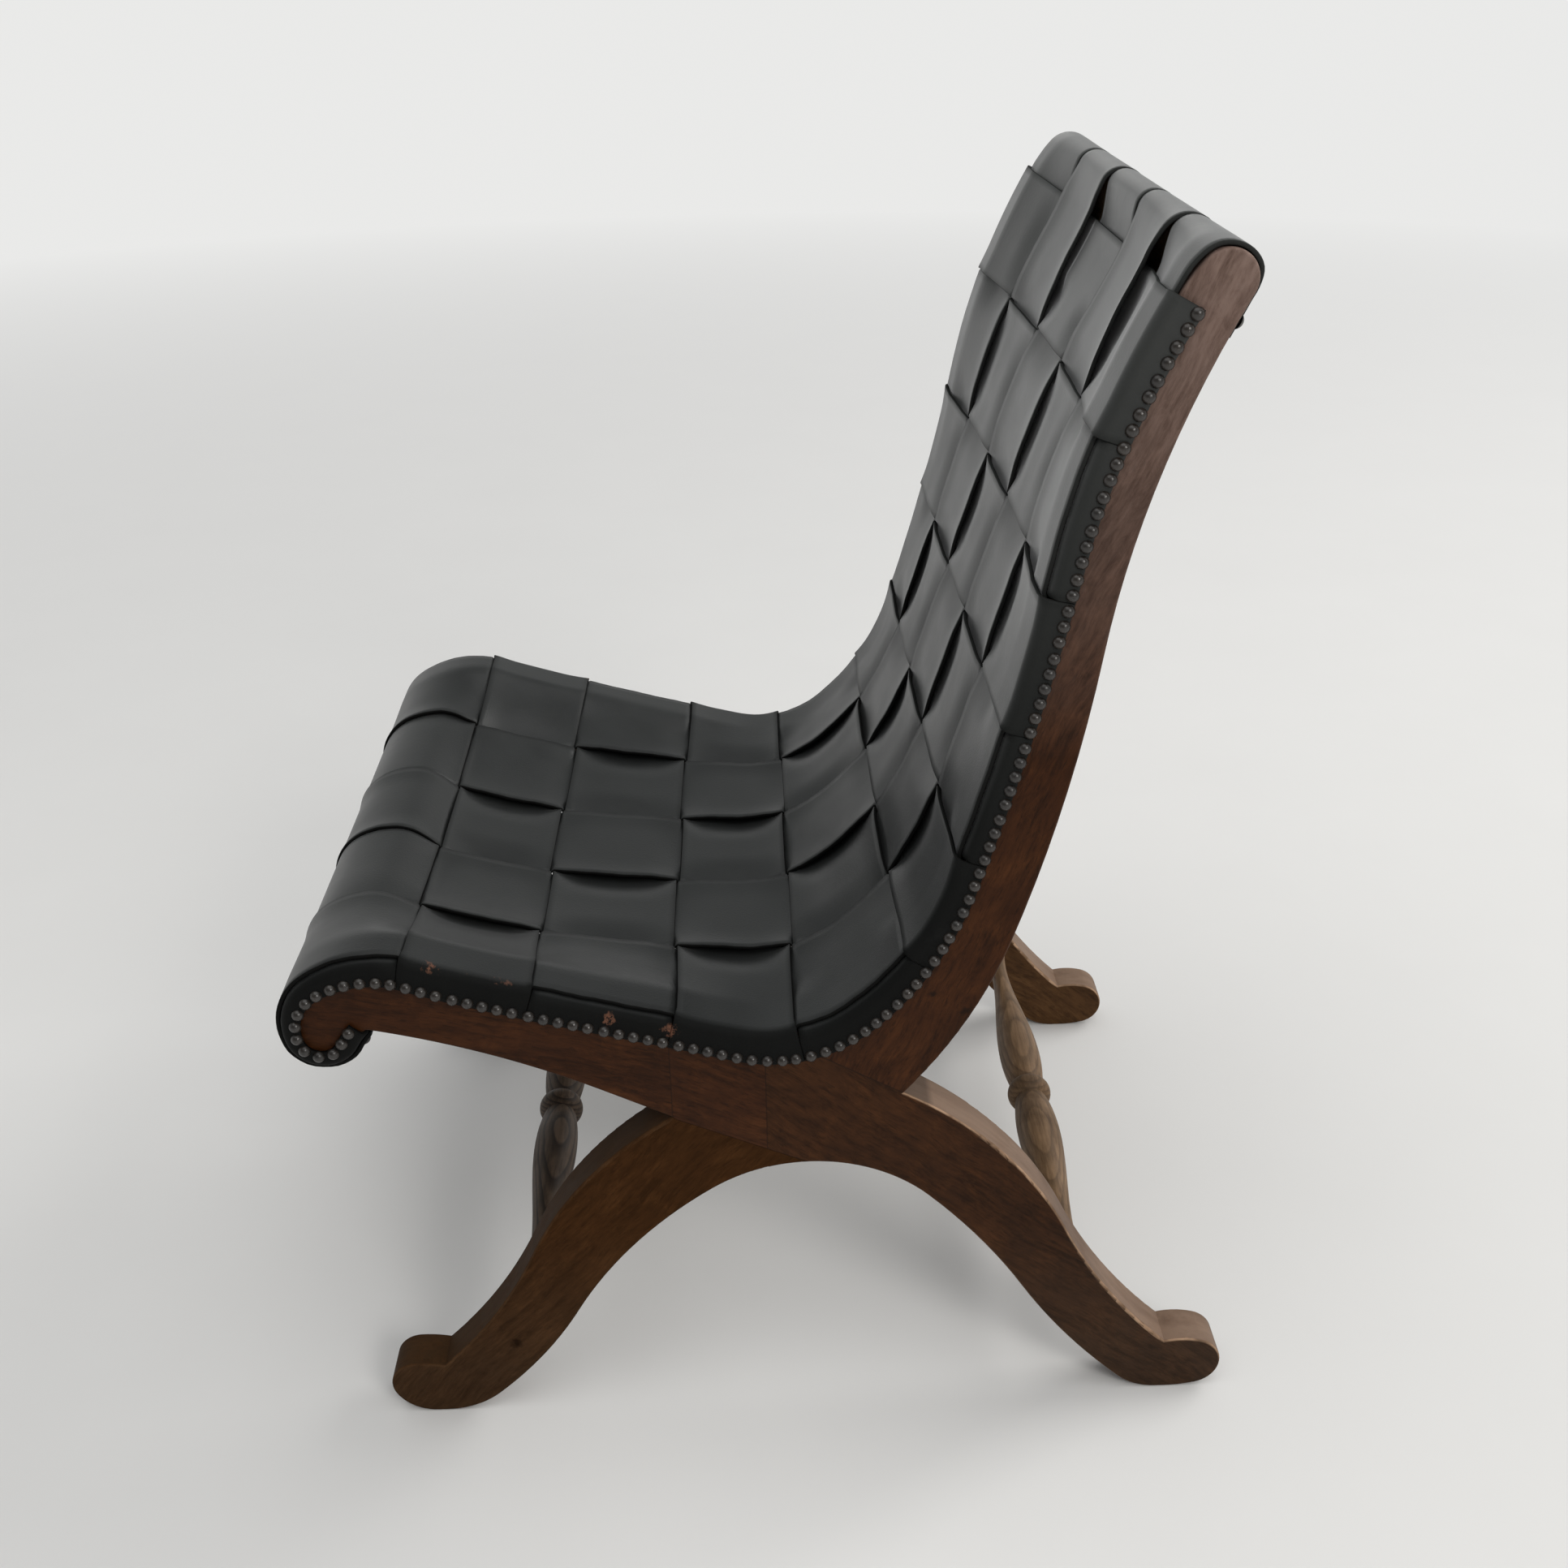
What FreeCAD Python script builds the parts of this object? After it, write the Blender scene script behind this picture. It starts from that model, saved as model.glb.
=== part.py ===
import FreeCAD, Part
import math
import os

# Low slipper chair: two sawn X-shaped side frames with scrolled feet, joined by two turned
# stretchers, a front rail and a crest rail, with a seat and back of woven leather straps.
# Millimetres. +Z up, the sitter looks along -Y, +X is the sitter's left hand.
# The origin is on the floor, under the middle of the whole chair.

degree = math.pi / 180

# Side frames
frame_width = 470.0          # over the outer faces of the two side frames
board_thick = 30.0           # every sawn board
edge_round = 2.0             # eased edges of the boards
notch_round = 2.5            # inside corner behind the front scroll
bend_height = 312.7          # top edge of the rail where the seat starts to bend into the back
bend_place = -22.8           # the same point, from front to back

# Top edge of the rail, from the tip of the front scroll to the top of the back post
scroll_tip_radius = 58.0
scroll_tip_angle = 16.0
scroll_nose_radius = 20.6
scroll_nose_angle = 136.5
scroll_front_radius = 39.4
scroll_front_angle = 70.4
scroll_crown_radius = 74.0
scroll_crown_angle = 52.0
seat_run = 205.0
seat_sway_angle = 3.8
hip_radius = 83.4
hip_angle = 53.2
waist_radius = 190.0
waist_angle = 32.9
back_run = 206.0
back_sway_angle = 7.1
shoulder_run = 155.0
shoulder_angle = 18.5
bend_heading = -14.1         # how steeply the seat drops at its low end
cap_front_radius = 80.0      # rounded top of the back post
cap_front_angle = 14.0
cap_rear_radius = 15.8
cap_rear_angle = 164.6

# Rear edge of the back post, from its top down
post_upper_run = 206.3
post_upper_angle = 20.2
post_lower_run = 194.4
post_lower_angle = 10.8

# Crotches where the legs branch off, measured from the start of the bend
rear_crotch_back = 104.5
rear_crotch_drop = 47.7
front_crotch_ahead = 43.5
front_crotch_drop = 61.7
apex_back = 44.5             # top of the arch between the feet
apex_drop = 101.4
post_joint_heading = 150.0   # the back post stands on the rear leg along this slope
block_length = 60.0          # short block between the seat rail and the rear leg
seat_under_run = 50.0        # straight underside of the seat rail ahead of its crotch
seat_under_heading = 152.5

# Arch and feet: runs and radii in the side view, turns in degrees
front_arch_radius = 116.0
front_arch_angle = 33.8
front_shin_run = 141.0
front_shin_angle = 26.9
front_ankle_run = 96.7
front_ankle_angle = 19.3
front_heel_radius = 57.0
front_toe_radius = 31.0
front_toe_angle = 63.5
front_foot_radius = 18.7
front_foot_angle = 114.7
front_lip_radius = 76.0
front_lip_angle = 15.6
front_calf_run = 119.5
front_calf_angle = 21.8
rear_arch_radius = 111.0
rear_arch_angle = 44.1
rear_shin_run = 104.6
rear_shin_angle = 14.4
rear_ankle_run = 114.5
rear_ankle_angle = 15.8
rear_heel_radius = 39.2
rear_toe_radius = 95.0
rear_toe_angle = 13.0
rear_foot_radius = 20.6
rear_foot_angle = 150.2
rear_lip_radius = 51.0
rear_lip_angle = 29.8
rear_calf_run = 129.0
rear_calf_angle = 20.8
calf_heading = 44.0          # slope of both leg tops where they leave the foot scrolls
sole_flat = 7.0              # worn flat under each foot

# Leather: five long straps and ten cross straps in a plain weave
leather_thick = 2.6
leather_gap = 0.5            # air between pieces that lie on each other
long_strap_count = 5
strap_gap = 3.0              # between neighbouring straps
strap_inset = 1.0            # long straps stop short of the frame's outer face
scroll_wrap = 173.0          # along the rail, from the scroll's tip to the first cross joint
cross_strap_spaces = (82.0, 89.0, 80.0, 91.0, 75.0, 86.0, 83.0, 91.0, 81.0)  # hand-cut widths
wrap_start = 3.0
full_sag = 27.0              # deepest hang of the leather between the side frames
crest_tail = 25.0            # long straps reach this far down behind the crest
flap_margin = 5.0            # cross straps end this far below the nail line
fold_share = 0.6             # of the leather's thickness, eased along the fold
row_steps = 6
scroll_steps = 32
crown_steps = 20

# Share of the full sag at each place along the straps: the tip of the scroll, its nose and
# crown, the ten joints between cross straps, the top of the crest and behind it.
scroll_place_shares = (0.0, 0.45, 0.80)
scroll_sag_shares = (0.10, 0.0, 0.42)
joint_sag_shares = (1.04, 1.0, 0.48, -0.08, -0.2, -0.1, 0.02, 0.28, 0.58, 0.70)
crest_sag_shares = (0.05, 0.0)
crest_place_share = 0.55     # of the rounded top, where the leather lies on the crest
sag_fall_power = 3.0         # how flat the hammock hangs across the seat

# Nails and tacks
nail_radius = 3.9
nail_height = 3.2
nail_shank_radius = 0.9
nail_shank_length = 10.0
nail_pitch = 9.4
nail_end_margin = 6.0
nail_line_steps = 900        # fine walk along the nail line
nail_drops = (7.5, 7.0, 10.5, 12.5, 12.5, 15.0, 9.5, 9.5, 12.0)  # below the rail's top edge
nail_drop_shares = (0.0, 0.08, 0.17, 0.22, 0.38, 0.46, 0.60, 0.85, 1.0)  # of the rail's length
tack_radius = 4.0
tack_height = 2.2
tack_shank_length = 9.0
tacks_per_strap = 3
tack_end_margin = 9.0        # from a strap's cut end to its tacks
tack_edge_margin = 8.5       # from a strap's long edges to the outer tacks

# Rails across the frame
front_rail_back = 168.0      # along the strap, where the front rail's covered side ends
crest_rail_ahead = 42.0      # the crest rail's front side starts this far below the post's top
tenon_length = 17.0
tenon_fit = 0.1
socket_gap = 1.0             # at the end of every socket
front_tenon_radius = 9.0
crest_tenon_radius = 5.0
crest_tenon_spacing = 26.0

# Turned stretchers
front_stretcher_share = 0.758  # of the way down the leg's lower edge
front_stretcher_inset = 25.3   # off that edge
rear_stretcher_share = 0.743
rear_stretcher_inset = 26.1
ring_place = 6.0             # the turned ring sits a little nearer to the left leg
ring_radius = 17.2
ring_half_width = 9.5
neck_radius = 12.4
vase_radius = 16.3
vase_place = 45.0            # from the ring, as is the shank's place
shank_radius = 12.4
shank_place = 105.0
stretcher_end_radius = 10.4
stretcher_tenon_radius = 8.0

# Hidden dowels in the frame joints, with their places along each joint
dowel_radius = 4.5
dowel_length = 30.0
post_dowel_places = (25.0, 62.0)
leg_dowel_places = (18.0, 48.0)
block_dowel_rises = (24.0, 46.0)

reach = 900.0                # longer than any board, for the cutting planes

inner_face = frame_width / 2 - board_thick
outer_face = frame_width / 2


# Moving a pose (y, z, heading) along an arc of a given length and turn

def move(pose, length, turn):
    y, z, heading = pose
    half = turn / 2
    chord = length
    if half:
        chord = length * math.sin(half) / half
    bearing = heading + half
    return (y + chord * math.cos(bearing), z + chord * math.sin(bearing), heading + turn)


def point(pose, lift=0.0, x=0.0):
    y, z, heading = pose
    return FreeCAD.Vector(x, y - lift * math.sin(heading), z + lift * math.cos(heading))


def bend(radius, turn):
    return (radius * abs(turn) * degree, turn * degree)


def run(length, turn=0.0):
    return (length, turn * degree)


class Path:
    """A chain of straight runs and arcs in the side view, walked by distance."""

    def __init__(self, start, runs):
        self.poses = [start]
        self.marks = [0.0]
        self.runs = list(runs)
        for length, turn in self.runs:
            self.poses.append(move(self.poses[-1], length, turn))
            self.marks.append(self.marks[-1] + length)
        self.length = self.marks[-1]
        self.end = self.poses[-1]

    def pose(self, along):
        last = len(self.runs) - 1
        index = max(i for i in range(last + 1) if self.marks[i] <= along or i == 0)
        length, turn = self.runs[index]
        travelled = along - self.marks[index]
        return move(self.poses[index], travelled, turn * travelled / length)

    def edges(self):
        return [arc_edge(self.poses[i], *self.runs[i]) for i in range(len(self.runs))]


def arc_edge(start, length, turn):
    first = point(start)
    last = point(move(start, length, turn))
    if not turn:
        return Part.LineSegment(first, last).toShape()
    middle = point(move(start, length / 2, turn / 2))
    return Part.Arc(first, middle, last).toShape()


def arc_to(pose, target):
    """The one arc that leaves a pose along its heading and ends at a target point."""
    y, z, heading = pose
    across = target[0] - y
    up = target[1] - z
    chord = math.hypot(across, up)
    half = math.atan2(up, across) - heading
    half = math.atan2(math.sin(half), math.cos(half))
    length = chord
    if half:
        length = chord * half / math.sin(half)
    return (length, 2 * half)


def reverse(pose):
    return (pose[0], pose[1], pose[2] + math.pi)


# Side view of the frame

bend_pose = (bend_place, bend_height, bend_heading * degree)

front_runs = [
    bend(scroll_tip_radius, scroll_tip_angle),
    bend(scroll_nose_radius, -scroll_nose_angle),
    bend(scroll_front_radius, -scroll_front_angle),
    bend(scroll_crown_radius, -scroll_crown_angle),
    run(seat_run, seat_sway_angle),
]
back_runs = [
    bend(hip_radius, hip_angle),
    bend(waist_radius, waist_angle),
    run(back_run, back_sway_angle),
    run(shoulder_run, -shoulder_angle),
]
backwards = Path(reverse(bend_pose), [(length, -turn) for length, turn in reversed(front_runs)])
scroll_tip = reverse(backwards.end)
rail = Path(scroll_tip, front_runs + back_runs)
cap_runs = [
    bend(cap_front_radius, -cap_front_angle),
    bend(cap_rear_radius, -cap_rear_angle),
]
tail = run(crest_tail, post_upper_angle * crest_tail / post_upper_run)
post_rear_runs = [
    run(post_upper_run, post_upper_angle),
    run(post_lower_run, -post_lower_angle),
]
strap_path = Path(scroll_tip, front_runs + back_runs + cap_runs + [tail])
post_edge = Path(scroll_tip, front_runs + back_runs + cap_runs + post_rear_runs)

rear_crotch = (bend_place + rear_crotch_back, bend_height - rear_crotch_drop)
front_crotch = (bend_place - front_crotch_ahead, bend_height - front_crotch_drop)
apex = (bend_place + apex_back, bend_height - apex_drop)
block_rear = front_crotch[0] + block_length
apex_slope = math.atan2(apex[1] - front_crotch[1], apex[0] - front_crotch[0])


class Leg:
    """The lower edge of a leg, from the top of the arch down to the floor.

    Its runs are stretched evenly, so that the heel just meets the floor. The side is 1 for the
    rear leg and -1 for the front leg.
    """

    def __init__(self, side, arch, shin, ankle, heel_radius):
        start = (apex[0], apex[1], (1 - side) / 2 * math.pi)
        slope = arch[1] + shin[1] - ankle[1]
        heel_drop = heel_radius * (1 - math.cos(slope * degree))
        limb = [bend(arch[0], -side * arch[1]), run(shin[0], -side * shin[1]),
                run(ankle[0], side * ankle[1])]
        drop = apex[1] - Path(start, limb).end[1]
        self.side = side
        self.stretch = (apex[1] - heel_drop) / drop
        self.limb = Path(start, [(length * self.stretch, turn) for length, turn in limb])
        self.heel = bend(heel_radius, side * slope)

    def outline(self, toe, foot, lip, calf, crotch):
        # On round the foot and up the leg to its crotch.
        side = self.side
        foot_path = Path(self.limb.end, [self.heel, run(sole_flat),
                                         bend(toe[0], side * toe[1]),
                                         bend(foot[0], side * foot[1]),
                                         bend(lip[0], side * lip[1])])
        heading = (1 + side) / 2 * math.pi - side * calf_heading * degree
        notch = (foot_path.end[0], foot_path.end[1], heading)
        calf_path = Path(notch, [run(calf[0] * self.stretch, -side * calf[1])])
        closing = arc_edge(calf_path.end, *arc_to(calf_path.end, crotch))
        return self.limb.edges() + foot_path.edges() + calf_path.edges() + [closing]

    def stretcher_spot(self, share, inset):
        # Inside the leg, off its lower edge.
        middle = point(self.limb.pose(self.limb.length * share), self.side * inset)
        return (middle.y, middle.z)


front_leg = Leg(-1, (front_arch_radius, front_arch_angle), (front_shin_run, front_shin_angle),
                (front_ankle_run, front_ankle_angle), front_heel_radius)
rear_leg = Leg(1, (rear_arch_radius, rear_arch_angle), (rear_shin_run, rear_shin_angle),
               (rear_ankle_run, rear_ankle_angle), rear_heel_radius)


def side_outline():
    front_edges = front_leg.outline((front_toe_radius, front_toe_angle),
                                    (front_foot_radius, front_foot_angle),
                                    (front_lip_radius, front_lip_angle),
                                    (front_calf_run, front_calf_angle), front_crotch)
    rear_edges = rear_leg.outline((rear_toe_radius, rear_toe_angle),
                                  (rear_foot_radius, rear_foot_angle),
                                  (rear_lip_radius, rear_lip_angle),
                                  (rear_calf_run, rear_calf_angle), rear_crotch)
    crotch_pose = (front_crotch[0], front_crotch[1], seat_under_heading * degree)
    under = Path(crotch_pose, [run(seat_under_run)])
    closings = [arc_edge(post_edge.end, *arc_to(post_edge.end, rear_crotch)),
                arc_edge(under.end, *arc_to(under.end, scroll_tip))]
    return post_edge.edges() + rear_edges + front_edges + under.edges() + closings


def prism(corners, low, high):
    points = [FreeCAD.Vector(low, y, z) for y, z in corners]
    face = Part.Face(Part.makePolygon(points + points[:1]))
    return face.extrude(FreeCAD.Vector(high - low, 0, 0))


def frame_solid():
    # One side frame in a single piece with eased edges, before it is cut along its joints.
    wire = Part.Wire(Part.__sortEdges__(side_outline()))
    face = Part.Face(wire)
    face.translate(FreeCAD.Vector(inner_face, 0, 0))
    solid = face.extrude(FreeCAD.Vector(board_thick, 0, 0))
    notch = Part.Vertex(point(scroll_tip, 0.0, inner_face + board_thick / 2))
    corner = min(solid.Edges, key=lambda edge: edge.distToShape(notch)[0])
    solid = solid.makeFillet(notch_round, [corner])
    long_edges = [edge for edge in solid.Edges if edge.BoundBox.XLength < edge_round]
    return solid.makeFillet(edge_round, long_edges)


def frame_boards():
    whole = frame_solid()
    low = inner_face - board_thick
    high = outer_face + board_thick
    joint_y = rear_crotch[0] + reach * math.cos(post_joint_heading * degree)
    joint_z = rear_crotch[1] + reach * math.sin(post_joint_heading * degree)
    above = prism([rear_crotch, (rear_crotch[0] + reach, rear_crotch[1]),
                   (rear_crotch[0] + reach, rear_crotch[1] + reach),
                   (joint_y, joint_z + reach), (joint_y, joint_z)], low, high)
    below = prism([front_crotch, apex, (apex[0], -reach), (-reach, -reach),
                   (-reach, front_crotch[1])], low, high)
    middle = prism([(front_crotch[0], -reach), (block_rear, -reach),
                    (block_rear, reach), (front_crotch[0], reach)], low, high)
    ahead = prism([(-reach, -reach), (front_crotch[0], -reach),
                   (front_crotch[0], reach), (-reach, reach)], low, high)
    rest = whole.cut(above)
    diagonal = rest.cut(below)
    boards = {
        "back_post": whole.common(above),
        "front_leg": rest.common(below),
        "seat_rail": diagonal.common(ahead),
        "centre_block": diagonal.common(middle),
        "rear_leg": diagonal.cut(ahead).cut(middle),
    }
    return {name: board.Solids[0] for name, board in boards.items()}


# Leather

cross_strap_count = len(cross_strap_spaces) + 1
joint_marks = [scroll_wrap + sum(cross_strap_spaces[:i]) for i in range(cross_strap_count)]
low_lift = leather_gap + leather_thick / 2
high_lift = low_lift + leather_thick + leather_gap
woven_width = frame_width - 2 * strap_inset
long_strap_width = (woven_width - strap_gap * (long_strap_count - 1)) / long_strap_count
cap_length = strap_path.length - crest_tail - rail.length
sag_marks = ([scroll_wrap * share for share in scroll_place_shares] + joint_marks
             + [rail.length + cap_length * crest_place_share, strap_path.length])
sag_shares = scroll_sag_shares + joint_sag_shares + crest_sag_shares
nail_marks = [rail.length * share for share in nail_drop_shares]


def smooth_value(marks, values, along):
    # A smooth curve through the values at the marks.
    last = len(marks) - 2
    i = max(k for k in range(last + 1) if marks[k] <= along or k == 0)

    def slope(k):
        before = max(k - 1, 0)
        after = min(k + 1, last + 1)
        return (values[after] - values[before]) / (marks[after] - marks[before])

    span = marks[i + 1] - marks[i]
    t = (along - marks[i]) / span
    start = (1 + 2 * t) * (1 - t) ** 2 * values[i] + t * (1 - t) ** 2 * span * slope(i)
    end = t * t * (3 - 2 * t) * values[i + 1] - t * t * (1 - t) * span * slope(i + 1)
    return start + end


def leather_point(x, along, lift):
    across = min(abs(x) / inner_face, 1.0)
    share = smooth_value(sag_marks, sag_shares, along)
    sag = full_sag * share * (1 - across ** sag_fall_power)
    return point(strap_path.pose(along), lift - sag, x)


def nail_drop(along):
    return smooth_value(nail_marks, nail_drops, along)


def long_strap_edges(number):
    first = (number - 1) * (long_strap_width + strap_gap) - woven_width / 2
    return first, first + long_strap_width


def places_across(number):
    # Where a long strap is drawn: its edges, its middle and the inner faces it passes over.
    left, right = long_strap_edges(number)
    places = [left, (left + right) / 2, right]
    places += [x for x in (-inner_face, inner_face) if left < x < right]
    return sorted(places)


def long_is_over(number, row):
    return (number + row) % 2 == 0


def row_stations(row):
    # Places along the strap path where one row of the weave is drawn.
    if row == 1:
        first = wrap_start
        last = joint_marks[0] - strap_gap / 2
        steps = scroll_steps
    else:
        first = joint_marks[row - 2] + strap_gap / 2
        last = joint_marks[row - 1] - strap_gap / 2
        steps = row_steps
    return [first + (last - first) * i / steps for i in range(steps + 1)]


def crest_stations():
    first = rail.length + strap_gap / 2
    span = strap_path.length - first
    return [first + span * i / crown_steps for i in range(crown_steps + 1)]


def closed_wire(points):
    return Part.makePolygon(points + points[:1])


def ruled_solid(sections):
    return Part.makeLoft([closed_wire(points) for points in sections], True, True)


def long_strap(number):
    stations = []
    for row in range(1, cross_strap_count + 1):
        lift = high_lift if long_is_over(number, row) else low_lift
        stations += [(along, lift) for along in row_stations(row)]
    stations += [(along, low_lift) for along in crest_stations()]
    sections = []
    for x in places_across(number):
        top = [leather_point(x, along, lift + leather_thick / 2) for along, lift in stations]
        under = [leather_point(x, along, lift - leather_thick / 2) for along, lift in stations]
        sections.append(top + under[::-1])
    return ruled_solid(sections)


def cross_band(row, places):
    sections = []
    for x, lift in places:
        stations = row_stations(row)
        top = [leather_point(x, along, lift + leather_thick / 2) for along in stations]
        under = [leather_point(x, along, lift - leather_thick / 2) for along in stations]
        sections.append(top + under[::-1])
    return ruled_solid(sections)


def flap(row, lift, face_place):
    # The end of a cross strap, folded down over the outer face of a side frame.
    fold = leather_thick * fold_share
    shoulder = face_place + leather_thick - fold
    profile = [(face_place, 0.0)]
    for turn in (0.0, math.pi / 4, math.pi / 2):
        profile.append((shoulder + fold * math.sin(turn), fold * (1 - math.cos(turn))))
    sections = []
    for x, drop in profile:
        stations = row_stations(row)
        level = lift + leather_thick / 2 - drop
        top = [leather_point(x, along, level) for along in stations]
        under = [leather_point(x, along, -nail_drop(along) - flap_margin) for along in stations]
        sections.append(top + under[::-1])
    return ruled_solid(sections)


def cross_strap(row):
    face_place = outer_face + leather_gap
    places = []
    for number in range(1, long_strap_count + 1):
        lift = low_lift if long_is_over(number, row) else high_lift
        places += [(x, lift) for x in places_across(number)]
    end_lift = places[0][1]
    places = [(-face_place, end_lift)] + places + [(face_place, end_lift)]
    end = flap(row, end_lift, face_place)
    return cross_band(row, places).fuse([end, mirrored(end)])


def mirrored(shape):
    return shape.mirror(FreeCAD.Vector(0, 0, 0), FreeCAD.Vector(1, 0, 0))


# Rails, stretchers, nails and dowels

def rod(radius, length, start, direction):
    return Part.makeCylinder(radius, length, start, direction)


def rail_solid(first, last, steps):
    # A rail's section follows the underside of the leather that is drawn over it.
    span = last - first
    covered = [leather_point(0.0, first + span * i / steps, 0.0) for i in range(steps + 1)]
    curve = Part.BSplineCurve()
    curve.interpolate(covered)
    back = Part.LineSegment(covered[-1], covered[0])
    face = Part.Face(Part.Wire([curve.toShape(), back.toShape()]))
    middle = face.CenterOfMass
    face.translate(FreeCAD.Vector(-inner_face, 0, 0))
    return face.extrude(FreeCAD.Vector(2 * inner_face, 0, 0)), middle


def tenons(spots, radius, extra=0.0):
    # Round tenons on both ends of a piece that spans the inner faces of the side frames.
    out = FreeCAD.Vector(1, 0, 0)
    pegs = []
    for y, z in spots:
        peg = rod(radius, tenon_length + extra, FreeCAD.Vector(inner_face, y, z), out)
        pegs += [peg, mirrored(peg)]
    return pegs


def lathe(edges):
    face = Part.Face(Part.Wire(edges))
    return face.revolve(FreeCAD.Vector(0, 0, 0), FreeCAD.Vector(1, 0, 0), 360)


def line(first, last):
    return Part.LineSegment(first, last).toShape()


def stretcher(place):
    def spot(x, radius):
        return FreeCAD.Vector(x, radius, 0)

    ring = Part.Arc(spot(ring_place - ring_half_width, neck_radius),
                    spot(ring_place, ring_radius),
                    spot(ring_place + ring_half_width, neck_radius)).toShape()
    edges = [ring]
    for side in (-1, 1):
        vase = Part.BSplineCurve()
        vase.interpolate([spot(ring_place + side * ring_half_width, neck_radius),
                          spot(ring_place + side * vase_place, vase_radius),
                          spot(ring_place + side * shank_place, shank_radius),
                          spot(side * inner_face, stretcher_end_radius)])
        edges.append(vase.toShape())
        edges.append(line(spot(side * inner_face, stretcher_end_radius),
                          spot(side * inner_face, 0)))
    edges.append(line(spot(-inner_face, 0), spot(inner_face, 0)))
    body = lathe(Part.__sortEdges__(edges))
    body = body.fuse(tenons([(0, 0)], stretcher_tenon_radius))
    body.translate(FreeCAD.Vector(0, place[0], place[1]))
    return body


def nail(head_radius, head_height, shank_radius, shank_length):
    # A domed nail along X, with its head resting on the plane x = 0.
    dome = (head_radius ** 2 + head_height ** 2) / (2 * head_height)
    centre = head_height - dome
    halfway = math.atan2(head_radius, -centre) / 2
    shoulder = FreeCAD.Vector(centre + dome * math.cos(halfway), dome * math.sin(halfway), 0)
    crown = FreeCAD.Vector(head_height, 0, 0)
    brim = FreeCAD.Vector(0, head_radius, 0)
    neck = FreeCAD.Vector(0, shank_radius, 0)
    foot = FreeCAD.Vector(-shank_length, shank_radius, 0)
    tip = FreeCAD.Vector(-shank_length, 0, 0)
    return lathe([Part.Arc(crown, shoulder, brim).toShape(), line(brim, neck),
                  line(neck, foot), line(foot, tip), line(tip, crown)])


def nail_spots():
    # Evenly spaced points along the nail line, which runs below the rail's top edge.
    face = outer_face + leather_gap + leather_thick
    span = rail.length - 2 * nail_end_margin
    marks = [nail_end_margin + span * i / nail_line_steps for i in range(nail_line_steps + 1)]
    line_points = [point(rail.pose(along), -nail_drop(along), face) for along in marks]
    travelled = [0.0]
    for i in range(nail_line_steps):
        travelled.append(travelled[-1] + line_points[i].distanceToPoint(line_points[i + 1]))
    count = round(travelled[-1] / nail_pitch)
    spots = []
    for i in range(count + 1):
        wanted = travelled[-1] * i / count
        nearest = min(range(nail_line_steps + 1), key=lambda k: abs(travelled[k] - wanted))
        spots.append(line_points[nearest])
    return spots


def dome_nails():
    pattern = nail(nail_radius, nail_height, nail_shank_radius, nail_shank_length)
    nails = []
    for spot in nail_spots():
        copy = pattern.copy()
        copy.translate(spot)
        nails.append(copy)
    return Part.makeCompound(nails)


def strap_tacks(along, lift):
    pattern = nail(tack_radius, tack_height, nail_shank_radius, tack_shank_length)
    heading = strap_path.pose(along)[2]
    outward = FreeCAD.Vector(0, -math.sin(heading), math.cos(heading))
    turn = FreeCAD.Rotation(FreeCAD.Vector(1, 0, 0), outward)
    tacks = []
    for number in range(1, long_strap_count + 1):
        first = long_strap_edges(number)[0] + tack_edge_margin
        span = long_strap_width - 2 * tack_edge_margin
        for i in range(tacks_per_strap):
            x = first + span * i / (tacks_per_strap - 1)
            copy = pattern.copy()
            head = leather_point(x, along, lift + leather_thick / 2)
            copy.Placement = FreeCAD.Placement(head, turn)
            tacks.append(copy)
    return Part.makeCompound(tacks)


def dowels(radius, length):
    # Dowels across the joints of one side frame, in the middle of the boards.
    x = (inner_face + outer_face) / 2
    joints = []
    for place in post_dowel_places:
        joints.append((rear_crotch, place, post_joint_heading * degree))
    for place in leg_dowel_places:
        joints.append((front_crotch, place, apex_slope))
    for rise in block_dowel_rises:
        joints.append((front_crotch, rise, math.pi / 2))
        joints.append(((block_rear, front_crotch[1]), rise, math.pi / 2))
    rods = []
    for corner, place, heading in joints:
        across = FreeCAD.Vector(0, -math.sin(heading), math.cos(heading))
        middle = FreeCAD.Vector(x, corner[0] + place * math.cos(heading),
                                corner[1] + place * math.sin(heading))
        rods.append(rod(radius, length, middle - across * (length / 2), across))
    return rods


def save(name, shape):
    count = len(shape.Solids)
    whole = shape.Solids[0] if count == 1 else shape
    whole.exportStep(os.path.join("parts", name + ".step"))
    print(name, count, "solid(s)", round(whole.Volume / 1000, 1), "cm3", whole.isValid())


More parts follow.
